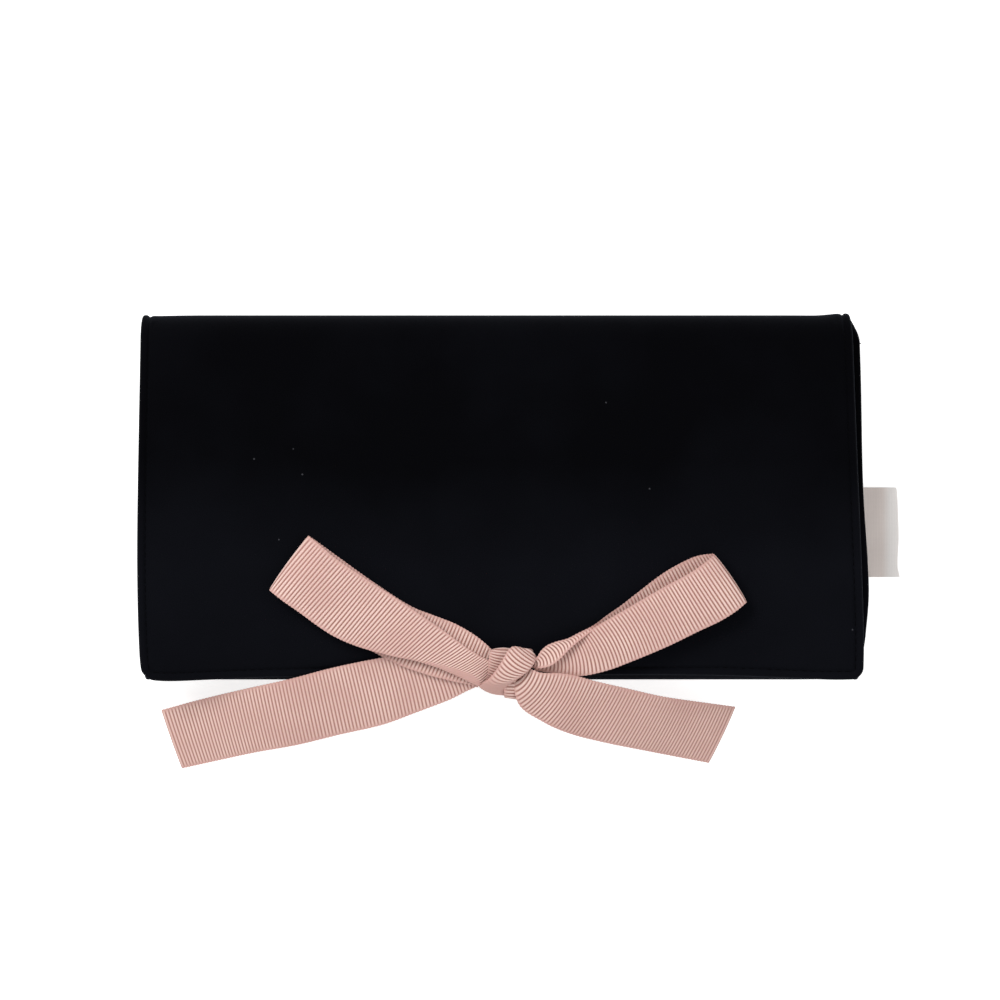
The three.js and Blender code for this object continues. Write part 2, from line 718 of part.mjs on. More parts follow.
const leftTailShares = [
  [0.071, -0.002, 0.973, 51, 0, 0.35],
  [0.16, -0.013, 0.935, 91, 0.12, 0.6],
  [0.258, -0.028, 0.925, 100, 0.19, 0.92],
  [0.361, -0.019, 0.895, 101, 0.21, 1],
  [0.636, 0.004, 0.775, 96, 0.35, 1],
  [0.828, 0, 0.463, 103, 0.35, 1],
  [1, 0, 0.13, 109, 0.15, 1],
];
const rightTailShares = [
  [0.073, -0.011, 1.19, 51, 0, 0.45],
  [0.16, -0.055, 1.13, 60, 0.18, 0.85],
  [0.317, -0.058, 1.05, 72, 0.3, 0.95],
  [0.585, -0.046, 0.78, 78, 0.22, 1],
  [0.807, -0.027, 0.42, 72, 0.16, 1],
  [1, 0, 0.12, 65, 0.1, 1],
];

// Loops rise from the flap, and tails run down from its height to the table.
function loopFrom(heading, reach, shares) {
  return ribbonFrom(heading, reach, flapTop, loopHeight, shares, loopSteps);
}
function tailFrom(heading, reach, shares, steps) {
  return ribbonFrom(heading, reach, 0, flapTop, shares, steps);
}
const rightTail = tailFrom(rightTailHeading, rightTailReach, rightTailShares, rightTailSteps);
addPiece('bow_loop_left', loopFrom(leftLoopHeading, leftLoopReach, leftLoopShares), grosgrain);
addPiece('bow_loop_right', loopFrom(rightLoopHeading, rightLoopReach, rightLoopShares), grosgrain);
addPiece('bow_tail_left', tailFrom(leftTailHeading, leftTailReach, leftTailShares, leftTailSteps), grosgrain);
addPiece('bow_tail_right', rightTail, grosgrain);

// The two ribbon ends that the bow ties: one from the flap's hem, one from the lower fold
function leadStrip(places) {
  const x = knotX - leadOffset;
  return ribbonStrip(places.map(([y, z]) => ({ x, y, z, turn: 0, tilt: 0, width: leadWidth })), leadSteps);
}
const leadMiddle = lowerEdge - pieceGap - ribbonThickness / 2;
const outerLeadMiddle = leadMiddle - ribbonThickness - leadSpacing;
const flapUnderside = flapPanel.seam - hemInner;
addPiece('flap_ribbon_lead', leadStrip([
  [leadMiddle, flapUnderside],
  [leadMiddle, flapHem + leadOver],
]), grosgrain);
addPiece('back_ribbon_lead', leadStrip([
  [leadMiddle, leadFoot],
  [leadMiddle, leadBend],
  [outerLeadMiddle, flapUnderside - ribbonThickness],
  [outerLeadMiddle, flapHem],
  [outerLeadMiddle, flapHem + ribbonThickness],
]), grosgrain);

export default object;
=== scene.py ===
import math

import bmesh
import bpy
from mathutils import Matrix, Vector, noise


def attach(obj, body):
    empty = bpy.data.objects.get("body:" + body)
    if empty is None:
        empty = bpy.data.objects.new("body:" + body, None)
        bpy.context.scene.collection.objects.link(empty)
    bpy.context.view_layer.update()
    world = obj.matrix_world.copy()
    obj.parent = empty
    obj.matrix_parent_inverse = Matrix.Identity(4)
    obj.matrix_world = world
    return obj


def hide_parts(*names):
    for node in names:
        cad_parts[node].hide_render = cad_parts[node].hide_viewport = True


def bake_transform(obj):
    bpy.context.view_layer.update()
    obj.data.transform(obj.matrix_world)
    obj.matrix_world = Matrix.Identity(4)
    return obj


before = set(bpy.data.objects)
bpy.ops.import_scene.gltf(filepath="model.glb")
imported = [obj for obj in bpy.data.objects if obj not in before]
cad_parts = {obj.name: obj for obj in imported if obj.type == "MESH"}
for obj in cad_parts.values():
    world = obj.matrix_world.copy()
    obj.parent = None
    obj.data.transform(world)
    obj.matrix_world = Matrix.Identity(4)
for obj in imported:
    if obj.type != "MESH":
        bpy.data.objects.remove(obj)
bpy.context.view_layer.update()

# Velvet covers of the three panels
# Black cotton velvet with a short pile, cut to each panel and turned under round its open sides.
# A velvet facing 6 mm wide borders the inside too, and the topstitching 2.7 mm in holds it all down.
MM = 0.001
HEM_OUT, HEM_IN = 1.25, 0.9
STITCH_INSET, FACING, LINING_INSET = 2.7, 6.0, 4.2
CORNER, CROWN_RUN, VELVET_WALL = 4.0, 22.0, 0.45
COVER_WIDTH, FLAP_DEPTH, FREE_PULL = 238, 111, 0.75
panels = {
    "back": {"out": -1, "seam": 2.45, "outer": 1.2, "inner": 1.65, "low": -53.0, "high": 51.0, "free": None},
    "tuck": {"out": 1, "seam": 14.45, "outer": 2.9, "inner": 0.55, "low": -53.0, "high": 0.0, "free": "high"},
    "flap": {"out": 1, "seam": 21.55, "outer": 3.1, "inner": 0.55, "low": -60.0, "high": 51.0, "free": "low"},
}
left_edges = {
    "back": [(-53, -118.9), (-20, -119.5), (51, -118.9)],
    "tuck": [(-53, -117.9), (0, -117.8)],
    "flap": [(-60, -118.5), (-52, -119.4), (-30, -120.1), (-6, -120.1), (51, -119.1)],
}
right_edges = {
    "back": [(-53, 119.6), (-46, 120.7), (-30, 121.8), (4, 119.9), (38, 119.2), (51, 118.8)],
    "tuck": [(-53, 117.9), (0, 117.7)],
    "flap": [(-60, 119.0), (-47, 119.2), (-20, 118.4), (19, 116.8), (51, 115.6)],
}
free_edges = {
    "tuck": [(-118, -0.4), (-40, 0.0), (50, -0.3), (118, -0.2)],
    "flap": [(-118, -60.0), (-110, -60.5), (-96, -60.0), (-75, -59.2), (0, -58.7), (68, -58.6), (108, -60.0),
             (118, -59.9)],
}


def smooth_through(places, value):
    """A smooth line through a few (place, size) pairs, level past its ends."""
    if value <= places[0][0]:
        return places[0][1]
    if value >= places[-1][0]:
        return places[-1][1]
    k = next(i for i in range(1, len(places)) if value <= places[i][0])
    (a, low), (b, high) = places[k - 1], places[k]
    before, after = places[max(k - 2, 0)], places[min(k + 1, len(places) - 1)]
    t = (value - a) / (b - a)
    slope_in = (high - before[1]) / (b - before[0]) * (b - a)
    slope_out = (after[1] - low) / (after[0] - a) * (b - a)
    ends = (2 * t ** 3 - 3 * t ** 2 + 1) * low + (3 * t ** 2 - 2 * t ** 3) * high
    return ends + (t ** 3 - 2 * t ** 2 + t) * slope_in + (t ** 3 - t ** 2) * slope_out


def bump(value, centre, spread):
    """A round bump of height 1 at a centre."""
    return math.exp(-(((value - centre) / spread) ** 2))


def rise(distance, run):
    """Rises from 0 to 1 over a run, steep first and level at its end."""
    share = min(max(distance / run, 0), 1)
    return 1 - (1 - share) ** 3


def roll_share(depth, width):
    """How high a turned edge stands at a depth from its border, from 0 to 1: a quarter circle."""
    turn = min(max(1 - depth / width, 0), 1)
    return math.sqrt(1 - turn * turn)


def ripple(x, y, span, depth, seed=0.37):
    """A soft, irregular wave of a span and a depth in millimetres."""
    return depth * noise.noise(Vector((x / span, y / span, seed)))


def layer_height(name, layer, depth, inside, x, y, settle):
    """How far the velvet or the lining stands off the seam's level, at a distance from the border."""
    stitch = bump(depth, STITCH_INSET, 0.5)
    bead = math.sin(math.pi * min(max(depth / STITCH_INSET, 0), 1))
    pucker = bump(depth, STITCH_INSET + 1.6, 1.7) * noise.noise(Vector((x / 3.1, y / 3.1, 4)))
    if layer == "velvet":
        soft = settle * (ripple(x, y, 46, 0.7) + ripple(x + 90, y, 17, 0.25)) * (0.2 if name == "back" else 1)
        full = HEM_OUT + panels[name]["outer"] * inside + 0.3 * bead - 0.45 * stitch + 0.2 * pucker + soft
        return full * roll_share(depth, 0.9)
    soft = settle * (ripple(x, y * 0.6, 9, 0.16, 7.1) + ripple(x, y, 31, 0.3, 2.2))
    full = HEM_IN + panels[name]["inner"] * inside + 0.1 * bead - 0.3 * stitch + 0.25 * pucker + soft
    if layer == "facing":
        full += 0.4 * roll_share(FACING + 0.3 - depth, 0.5)
    return full * roll_share(depth, 0.7)


def gathered(share, pull):
    """Spaces a row of points closer together at its start."""
    return share * (1 - pull) + pull * share * share


def widened(share, pull=0.86):
    """Spaces a row of points closer together at both of its ends."""
    return share - pull * math.sin(2 * math.pi * share) / (2 * math.pi)


def depths(name, x, y):
    """How far a place on a panel is from its nearest side, its free edge and its border, round the corner."""
    side = min(x - smooth_through(left_edges[name], y), smooth_through(right_edges[name], y) - x)
    free = abs(y - smooth_through(free_edges[name], x)) if panels[name]["free"] else 1e3
    if max(side, free) < CORNER:
        return side, free, CORNER - math.hypot(CORNER - side, CORNER - free)
    return side, free, min(side, free)


def panel_place(name, layer, across, along):
    """A place on a panel's cloth from its two shares, crowded at the hems and round at the free corners."""
    panel = panels[name]
    inset = LINING_INSET if layer == "lining" else 0
    if panel["free"] == "low":
        along = gathered(along, FREE_PULL)
    if panel["free"] == "high":
        along = 1 - gathered(1 - along, FREE_PULL)
    low, high = panel["low"], panel["high"]
    y = low + (high - low) * along
    left = smooth_through(left_edges[name], y) + inset
    right = smooth_through(right_edges[name], y) - inset
    x = left + (right - left) * widened(across)
    fold = min(high - y, y - low)
    if panel["free"]:
        far = high if panel["free"] == "low" else low
        inward = 1 if panel["free"] == "low" else -1
        edge = smooth_through(free_edges[name], x) + inward * inset
        y = edge + (far - edge) * (along if inward > 0 else 1 - along)
        fold = abs(far - y)
        side, free = min(x - left, right - x), abs(y - edge)
        if max(side, free) < CORNER and min(side, free) < CORNER:
            square = max(CORNER - side, CORNER - free)
            pull = 1 - square / max(math.hypot(CORNER - side, CORNER - free), square)
            x += (CORNER - side) * pull * (1 if x < 0 else -1)
            y += (CORNER - free) * pull * inward
    side, free, depth = depths(name, x, y)
    inside = rise(side - STITCH_INSET, CROWN_RUN) * rise(free - STITCH_INSET, CROWN_RUN)
    settle = rise(depth - STITCH_INSET, 8) * rise(fold, 12)
    height = layer_height(name, layer, depth, inside, x, y, settle)
    toward = panel["out"] if layer == "velvet" else -panel["out"]
    return x, y, max(panel["seam"] + toward * height, 0.02)


def grid_of(columns, rows, place, flip=False, keep=None):
    """A sheet of square faces, each corner put in place, in millimetres, by its two shares."""
    cloth = bmesh.new()
    bmesh.ops.create_grid(cloth, x_segments=columns, y_segments=rows, size=1)
    if keep:
        middles = {face: face.calc_center_median() for face in cloth.faces}
        spare = [f for f, m in middles.items() if not keep((m.x + 1) / 2, (m.y + 1) / 2)]
        bmesh.ops.delete(cloth, geom=spare, context="FACES")
    for corner in cloth.verts:
        corner.co = Vector(place((corner.co.x + 1) / 2, (corner.co.y + 1) / 2)) * MM
    if flip:
        bmesh.ops.reverse_faces(cloth, faces=cloth.faces[:])
    return cloth


def join(mesh, other):
    """Adds a second mesh to the first."""
    data = bpy.data.meshes.new("joined")
    other.to_mesh(data)
    other.free()
    mesh.from_mesh(data)
    bpy.data.meshes.remove(data)


def with_facing(columns, rows, place, flip, free=None):
    """Velvet that turns over its border: the whole outer face, and a narrow facing on the inner one."""
    side_share = next(i for i in range(columns) if COVER_WIDTH * widened(i / columns) > FACING) / columns
    free_share = next(i for i in range(rows) if FLAP_DEPTH * gathered(i / rows, FREE_PULL) > FACING) / rows

    def keep(across, along):
        at_free = {"low": along < free_share, "high": along > 1 - free_share, None: False}[free]
        return min(across, 1 - across) < side_share or at_free

    cloth = grid_of(columns, rows, lambda u, v: place("velvet", u, v), flip)
    join(cloth, grid_of(columns, rows, lambda u, v: place("facing", u, v), not flip, keep))
    bmesh.ops.remove_doubles(cloth, verts=cloth.verts[:], dist=0.003 * MM)
    return cloth


def finish_piece(name, mesh, material, body=None, wall=0.0, smooth=50, stands_for=()):
    """Gives a sheet its wall in millimetres, makes the object, and lets it ride on its body."""
    if wall:
        bmesh.ops.solidify(mesh, geom=mesh.faces[:], thickness=wall * MM)
    bmesh.ops.recalc_face_normals(mesh, faces=mesh.faces[:])
    data = bpy.data.meshes.new(name)
    mesh.to_mesh(data)
    mesh.free()
    data.polygons.foreach_set("use_smooth", [True] * len(data.polygons))
    data.set_sharp_from_angle(angle=math.radians(smooth))
    data.materials.append(material)
    piece = bpy.data.objects.new(name, data)
    bpy.context.scene.collection.objects.link(piece)
    if body:
        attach(piece, body)
    if stands_for:
        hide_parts(*stands_for)
    return piece


def linear(code):
    """An sRGB hex colour as the linear values that a shader takes."""
    parts = [int(code[i:i + 2], 16) / 255 for i in (1, 3, 5)]
    return [(c / 12.92 if c <= 0.04045 else ((c + 0.055) / 1.055) ** 2.4) for c in parts] + [1.0]


# A node feeds a link from its first output, apart from these two. Each mix is of colours.
main_outputs = {"ShaderNodeMix": "Result", "ShaderNodeTexWave": "Fac"}


def add_node(tree, kind, links={}, **settings):
    """Adds a shader node; each link is a value, a hex colour, or the node or socket that feeds the input."""
    node = tree.nodes.new("ShaderNode" + kind)
    if kind == "Mix":
        node.data_type = "RGBA"
    for key, value in settings.items():
        setattr(node, key, value)
    for key, value in links.items():
        if isinstance(value, bpy.types.Node):
            value = value.outputs[main_outputs.get(value.bl_idname, 0)]
        if isinstance(value, bpy.types.NodeSocket):
            tree.links.new(value, node.inputs[key])
        else:
            node.inputs[key].default_value = linear(value) if isinstance(value, str) else value
    return node


def start_material(name):
    """A new material, its empty node tree and the socket of its object coordinates."""
    material = bpy.data.materials.new(name)
    material.use_nodes = True
    tree = material.node_tree
    tree.nodes.clear()
    return material, tree, add_node(tree, "TexCoord").outputs["Object"]


def end_material(tree, colour, roughness, specular, more={}):
    """Closes a material with the values and links of its surface."""
    surface = {"Base Color": colour, "Roughness": roughness, "Specular IOR Level": specular}
    add_node(tree, "OutputMaterial", {"Surface": add_node(tree, "BsdfPrincipled", {**surface, **more})})


def seen_directly(tree):
    """1 for rays from the camera or off a glossy face, else 0."""
    rays = add_node(tree, "LightPath").outputs
    return add_node(tree, "Math", {0: rays["Is Camera Ray"], 1: rays["Is Glossy Ray"]}, operation="ADD",
                    use_clamp=True)


def woven_height(tree, coords, warp, weft, distortion, operation):
    """A plain weave's height: bands across and along, each about a third of its scale in mm apart."""
    bands = [add_node(tree, "TexWave", {
        "Vector": coords, "Scale": 1 / (scale * MM), "Distortion": distortion}, bands_direction=axis)
        for scale, axis in ((warp, "X"), (weft, "Y"))]
    return add_node(tree, "Math", dict(enumerate(bands)), operation=operation)


# Cotton velvet: the pile swallows light from straight above and shows a soft bluish rim at its turns.
# Its colour is painted lighter towards the roll's lower edge and darker above, over the middle of the flap:
# a painted light and shade where the domed flap meets the lamp, mixed with random patches of nap tone.
# It carries a few specks of lint. The tufts are drawn 0.35 mm apart, coarser than real ones, so that they
# show.
PILE_TUFT, NAP_PATCH, LINT_CELL = 0.35, 38.0, 12.0
cotton_velvet, tree, coords = start_material("cotton_velvet")
nap = add_node(tree, "TexNoise", {"Vector": coords, "Scale": 1 / (NAP_PATCH * MM), "Detail": 3.0})
along_roll = add_node(tree, "SeparateXYZ", {"Vector": coords}).outputs["Y"]
# Painted light: the velvet turns lighter towards the lower edge and darker above, as light falls on the domed
# flap.
painted_lower_light = add_node(tree, "MapRange", {
    "Value": along_roll, "From Min": 0.012, "From Max": -0.022, "To Min": 0.05, "To Max": 0.75})
nap_share = add_node(tree, "Math", {0: nap, 1: 0.5}, operation="SUBTRACT")
nap_and_painted_light_mix = add_node(tree, "Math", {0: nap_share, 1: 0.9, 2: painted_lower_light}, operation="MULTIPLY_ADD", use_clamp=True)
nap_and_painted_light_colour = add_node(tree, "Mix", {"Factor": nap_and_painted_light_mix, "A": "#030305", "B": "#0d0e13"})
pile = add_node(tree, "TexNoise", {
    "Vector": coords, "Scale": 1 / (PILE_TUFT * MM), "Detail": 2.0, "Roughness": 0.6})
lint = add_node(tree, "TexVoronoi", {"Vector": coords, "Scale": 1 / (LINT_CELL * MM)})
speck = add_node(tree, "MapRange", {
    "Value": lint, "From Min": 0.03, "From Max": 0.015, "To Min": 0.0, "To Max": 0.25})
with_lint = add_node(tree, "Mix", {"Factor": speck, "A": nap_and_painted_light_colour, "B": "#7a7a82"})
pile_bump = add_node(tree, "Bump", {"Height": pile, "Strength": 0.5, "Distance": 0.0002})
end_material(tree, with_lint, 1.0, 0.04, {
    "Sheen Weight": 0.08, "Sheen Roughness": 0.4, "Sheen Tint": "#8f9bb4", "Normal": pile_bump})

for name, columns, rows in (("back", 190, 90), ("tuck", 190, 70), ("flap", 230, 130)):
    cover = with_facing(columns, rows, lambda layer, u, v: panel_place(name, layer, u, v),
                        panels[name]["out"] < 0, panels[name]["free"])
    velvet = finish_piece(f"{name}_velvet", cover, cotton_velvet, name, VELVET_WALL,
                          stands_for=[f"{name}_cover"])

# Velvet over the two folds
# The same strip of velvet runs on round both folds, so the closed roll has no seam there.
# Each half of a fold runs between its panel and the fold's middle, as the roll lies closed, with no body.
folds = {
    "top": {"toward": 1, "tangent": 51.0, "reach": 60.0, "left": -118.9, "right": 115.0,
            "body": "top_spine", "panels": ("back", "flap")},
    "low": {"toward": -1, "tangent": -53.0, "reach": -60.0, "left": -118.3, "right": 118.2,
            "body": "bottom_spine", "panels": ("back", "tuck")},
}
half_folds = [(f"{key}_fold_{name}", fold, name) for key, fold in folds.items() for name in fold["panels"]]


def fold_arc(fold, name):
    """A half fold's radius at the seam, the way to its middle, its centre's height and its straight wall."""
    radius = abs(fold["reach"] - fold["tangent"]) - HEM_OUT
    upward = 1 if name == "back" else -1
    middle = sum(panels[p]["seam"] for p in fold["panels"]) / 2
    centre = panels[name]["seam"] + upward * radius
    return radius, upward, centre, abs(middle - centre)


def fold_place(fold, name, layer, across, along, spread=True):
    """A place on the cloth round half a fold, from the panel (0) to the middle of the fold (1)."""
    radius, upward, centre, wall = fold_arc(fold, name)
    arc = radius * math.pi / 2
    far = along * (arc + wall)
    turn, drop = min(far / radius, math.pi / 2), max(far - arc, 0)
    share, inset = math.sin(turn) ** 2, LINING_INSET if layer == "lining" else 0
    left = smooth_through(left_edges[name], fold["tangent"])
    right = smooth_through(right_edges[name], fold["tangent"])
    left += (fold["left"] - left) * share + inset
    right += (fold["right"] - right) * share - inset
    x = left + (right - left) * (widened(across) if spread else across)
    side = min(x - left, right - x) + inset
    inside = rise(side - STITCH_INSET, CROWN_RUN) * max(math.cos(turn), 0) ** 1.4
    height = layer_height(name, layer, side, inside, x, fold["toward"] * far, 0)
    if fold["toward"] > 0:
        height += 0.7 * bump(x, 111, 5) * math.sin(turn) * (1 if layer == "velvet" else 0)
    reach = radius + (height if layer == "velvet" else -height)
    y = fold["tangent"] + fold["toward"] * reach * math.sin(turn)
    return x, y, centre - upward * reach * math.cos(turn) + upward * drop


def bend_fold(piece):
    """Bakes a half fold's placement into its mesh; the fold is not bent."""
    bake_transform(piece)


for title, fold, name in half_folds:
    columns = 230 if name == "flap" else 190
    flip = fold["toward"] * panels[name]["out"] < 0
    half = with_facing(columns, 30, lambda layer, u, v: fold_place(fold, name, layer, u, v), flip)
    velvet = finish_piece(f"{title}_velvet", half, cotton_velvet, None, VELVET_WALL,
                          stands_for=[f"{fold['body']}_cover"])
    bend_fold(velvet)

# Wadding
# A sheet of polyester wadding lies loose in each panel, between the velvet and the lining.
WADDING_INSET, WADDING_LEFT, WADDING_RIGHT = 7.0, -112, 111
wadding_felt, tree, coords = start_material("polyester_wadding")
felt_noise = add_node(tree, "TexNoise", {"Vector": coords, "Scale": 1 / (1.5 * MM), "Detail": 6.0})
felt_colour = add_node(tree, "Mix", {"Factor": felt_noise, "A": "#e4e1da", "B": "#f8f6f1"})
felt_bump = add_node(tree, "Bump", {"Height": felt_noise, "Strength": 0.8, "Distance": 0.0006})
end_material(tree, felt_colour, 1.0, 0.1, {"Sheen Weight": 0.3, "Normal": felt_bump})


def wadding_place(name, layer, across, along):
    """A place on one face of a panel's wadding, which thins out towards its edges."""
    panel = panels[name]
    low = panel["low"] + WADDING_INSET
    high = panel["high"] - WADDING_INSET
    x = WADDING_LEFT + (WADDING_RIGHT - WADDING_LEFT) * across
    y = low + (high - low) * along
    edge = min(x - WADDING_LEFT, WADDING_RIGHT - x, y - low, high - y)
    side, free, depth = depths(name, x, y)
    inside = rise(side - STITCH_INSET, CROWN_RUN) * rise(free - STITCH_INSET, CROWN_RUN)
    if layer == "velvet":
        height = HEM_OUT - 0.75 + (panel["outer"] - 0.4) * inside
    else:
        height = HEM_IN - 0.75 + (panel["inner"] - 0.2) * inside
    thin = 0.15 + 0.85 * roll_share(edge, 5)
    toward = panel["out"] if layer == "velvet" else -panel["out"]
    return x, y, panel["seam"] + toward * (height * thin + ripple(x, y, 12, 0.08))


for name in panels:
    pad = grid_of(70, 32, lambda u, v: wadding_place(name, "velvet", u, v))
    join(pad, grid_of(70, 32, lambda u, v: wadding_place(name, "lining", u, v), True))
    bmesh.ops.bridge_loops(pad, edges=[edge for edge in pad.edges if edge.is_boundary])
    wadding = finish_piece(f"{name}_wadding_pad", pad, wadding_felt, name, stands_for=[f"{name}_wadding"])

# Satin linings
# Dusty pink satin faces the inside of each panel and each fold. Its raw edge lies under the velvet
# facing, and the wadding behind it and the topstitching give it soft ripples. A cut side counts as at
# least 10 mm long, also where the drawn arc is shorter.
SATIN_WALL, SHORTEST_CUT = 0.3, 10.0
pink_satin, tree, coords = start_material("pink_polyester_satin")
satin_warp = add_node(tree, "Mapping", {"Vector": coords, "Scale": (1.0, 0.12, 1.0)})
satin_thread = add_node(tree, "TexNoise", {"Vector": satin_warp, "Scale": 1 / (0.12 * MM), "Detail": 1.0})
satin_cloud = add_node(tree, "TexNoise", {"Vector": coords, "Scale": 1 / (24 * MM), "Detail": 2.0})
satin_colour = add_node(tree, "Mix", {"Factor": satin_cloud, "A": "#cf9fa1", "B": "#deb6b6"})
satin_streak = add_node(tree, "Mix", {
    "Factor": 0.12, "A": satin_colour, "B": satin_thread.outputs["Color"]}, blend_type="SOFT_LIGHT")
satin_bump = add_node(tree, "Bump", {"Height": satin_thread, "Strength": 0.12, "Distance": 0.00005})
end_material(tree, satin_streak, 0.36, 0.5, {
    "Anisotropic": 0.6, "Sheen Weight": 0.2, "Sheen Roughness": 0.3, "Sheen Tint": "#ffe9e9",
    "Normal": satin_bump})

for name, columns, rows in (("back", 190, 90), ("tuck", 190, 70), ("flap", 200, 110)):
    flip = panels[name]["out"] > 0
    sheet = grid_of(columns, rows, lambda u, v: panel_place(name, "lining", u, v), flip)
    lining = finish_piece(f"{name}_satin", sheet, pink_satin, name, SATIN_WALL, stands_for=[f"{name}_lining"])
    length = abs(panels[name]["high"] - panels[name]["low"])
for title, fold, name in half_folds:
    columns = 200 if name == "flap" else 190
    flip = fold["toward"] * panels[name]["out"] > 0
    half = grid_of(columns, 24, lambda u, v: fold_place(fold, name, "lining", u, v), flip)
    lining = finish_piece(f"{title}_satin", half, pink_satin, None, SATIN_WALL,
                          stands_for=[f"{fold['body']}_lining"])
    bend_fold(lining)
    radius, _, _, wall = fold_arc(fold, name)
    length = max((radius - HEM_IN) * math.pi / 2 + wall, SHORTEST_CUT)

# Topstitching
# Black thread through the hems, and rose thread round the pockets, in stitches 2.3 mm long.
STITCH_PITCH, STITCH_LENGTH, THREAD = 2.9, 2.3, 0.32
FREE_EDGE, FREE_HALF, FOLD_WIDTH = 232, 118, 237
thread_materials = {}
for thread_name, light, dark, gloss in (
    ("black_thread", "#040406", "#010102", 0.03), ("rose_thread", "#e3b5b4", "#b98483", 0.3),
):
    thread_materials[thread_name], tree, coords = start_material(thread_name)
    twist = add_node(tree, "TexWave", {
        "Vector": coords, "Scale": 1 / (2.2 * MM), "Distortion": 1.5}, bands_direction="DIAGONAL")
    thread_colour = add_node(tree, "Mix", {"Factor": twist, "A": dark, "B": light})
    end_material(tree, thread_colour, 0.6, gloss)


def stitches(place, length):
    """A row of stitches, each a short round-ended thread, along a line given from 0 to 1."""
    row = bmesh.new()
    count = max(int(length / STITCH_PITCH), 1)
    for i in range(count):
        a = Vector(place((i + 0.5 - STITCH_LENGTH / STITCH_PITCH / 2) / count))
        b = Vector(place((i + 0.5 + STITCH_LENGTH / STITCH_PITCH / 2) / count))
        turn = (b - a).to_track_quat("X", "Z").to_matrix().to_4x4()
        size = Matrix.Diagonal(((b - a).length / 2, THREAD / 2, THREAD / 2, 1))
        spot = Matrix.Translation((a + b) / 2 * MM) @ turn @ size @ Matrix.Scale(MM, 4)
        bmesh.ops.create_uvsphere(row, u_segments=8, v_segments=5, radius=1, matrix=spot)
    return row


def hem_line(name, layer, end, share):
    """A place on a panel's line of topstitching: its left or right side, or its free edge."""
    panel = panels[name]
    gap = STITCH_INSET
    low = panel["low"] + (gap if panel["free"] == "low" else 0)
    high = panel["high"] - (gap if panel["free"] == "high" else 0)
    if end == "free":
        x = gap - FREE_HALF + 2 * (FREE_HALF - gap) * share
        y = smooth_through(free_edges[name], x) + (gap if panel["free"] == "low" else -gap)
    else:
        y = low + (high - low) * share
        edges = left_edges if end == "left" else right_edges
        x = smooth_through(edges[name], y) + (gap if end == "left" else -gap)
    height = layer_height(name, layer, gap, 0, x, y, 0) + 0.02
    toward = panel["out"] if layer == "velvet" else -panel["out"]
    return x, y, panel["seam"] + toward * height


for name, panel in panels.items():
    for layer in ("velvet", "facing"):
        run = bmesh.new()
        for end in ("left", "right") + (("free",) if panel["free"] else ()):
            length = FREE_EDGE if end == "free" else panel["high"] - panel["low"]
            join(run, stitches(lambda t: hem_line(name, layer, end, t), length))
        finish_piece(f"{name}_{layer}_topstitching", run, thread_materials["black_thread"], name)
for title, fold, name in half_folds:
    radius, _, _, wall = fold_arc(fold, name)
    for layer in ("velvet", "facing"):
        run = bmesh.new()
        for across in (STITCH_INSET / FOLD_WIDTH, 1 - STITCH_INSET / FOLD_WIDTH):
            join(run, stitches(lambda t: fold_place(fold, name, layer, across, t, False),
                               radius * math.pi / 2 + wall))
        thread = finish_piece(f"{title}_{layer}_stitching", run, thread_materials["black_thread"], None)
        bend_fold(thread)

# Zip pockets
# One on each panel: a black coil zip on woven tape above a satin pocket front, topstitched to the
# lining at its sides and foot. The sliders, pulls and end stops are rose gold brass.
zips = {
    "back": {"face": 5.0, "out": 1, "lane": 6.0, "pocket": (-43.0, -1.2)},
    "tuck": {"face": 13.0, "out": -1, "lane": -12.0, "pocket": (-43.0, -19.2)},
    "flap": {"face": 20.1, "out": -1, "lane": 14.0, "pocket": (-35.0, 6.8)},
}
TAPE_HALF, POCKET_HALF, COIL_HALF = 98.0, 98.0, 95
TAPE_WALL, POCKET_WALL = 0.25, 0.1
COIL_PITCH, COIL_WIRE = 1.25, 0.16
zip_weave, tree, coords = start_material("woven_zip_tape")
tape_height = woven_height(tree, coords, 3.1, 4.2, 0.0, "MULTIPLY")
tape_colour = add_node(tree, "Mix", {"Factor": tape_height, "A": "#0b0b0e", "B": "#1b1b20"})
tape_bump = add_node(tree, "Bump", {"Height": tape_height, "Strength": 0.6, "Distance": 0.00012})
end_material(tree, tape_colour, 0.75, 0.3, {"Normal": tape_bump})
nylon_coil, tree, coords = start_material("nylon_zip_coil")
nylon_noise = add_node(tree, "TexNoise", {"Vector": coords, "Scale": 1 / (2 * MM)})
nylon_rough = add_node(tree, "MapRange", {"Value": nylon_noise, "To Min": 0.28, "To Max": 0.42})
end_material(tree, "#151518", nylon_rough, 0.5)
rose_brass, tree, coords = start_material("rose_gold_brass")
brass_noise = add_node(tree, "TexNoise", {"Vector": coords, "Scale": 1 / (0.9 * MM), "Detail": 3.0})
brass_rough = add_node(tree, "MapRange", {"Value": brass_noise, "To Min": 0.16, "To Max": 0.34})
brass_bump = add_node(tree, "Bump", {"Height": brass_noise, "Strength": 0.08, "Distance": 0.00005})
end_material(tree, "#d9a286", brass_rough, 0.5, {"Metallic": 1.0, "Normal": brass_bump})


def pocket_place(zip_facts, across, along):
    """A place on a pocket front, which is turned under at its sides and foot and folded at the zip."""
    low, high = zip_facts["pocket"]
    x = -POCKET_HALF + 2 * POCKET_HALF * widened(across, 0.8)
    y = low + (high - low) * widened(along, 0.7)
    depth = min(x + POCKET_HALF, POCKET_HALF - x, y - low, high - y)
    belly = 0.2 * rise(depth - 2, 12) + 0.12 * bump(depth, 1.0, 0.9) - 0.16 * bump(depth, 2.0, 0.35)
    folds_of_cloth = rise(depth - 2, 6) * (ripple(x, y * 0.5, 11, 0.14, 3.3) + ripple(x, y, 34, 0.16, 5.1))
    height = (0.45 + belly + folds_of_cloth) * (0.25 + 0.75 * roll_share(depth, 0.5))
    return x, y, zip_facts["face"] + zip_facts["out"] * max(height, 0.1)


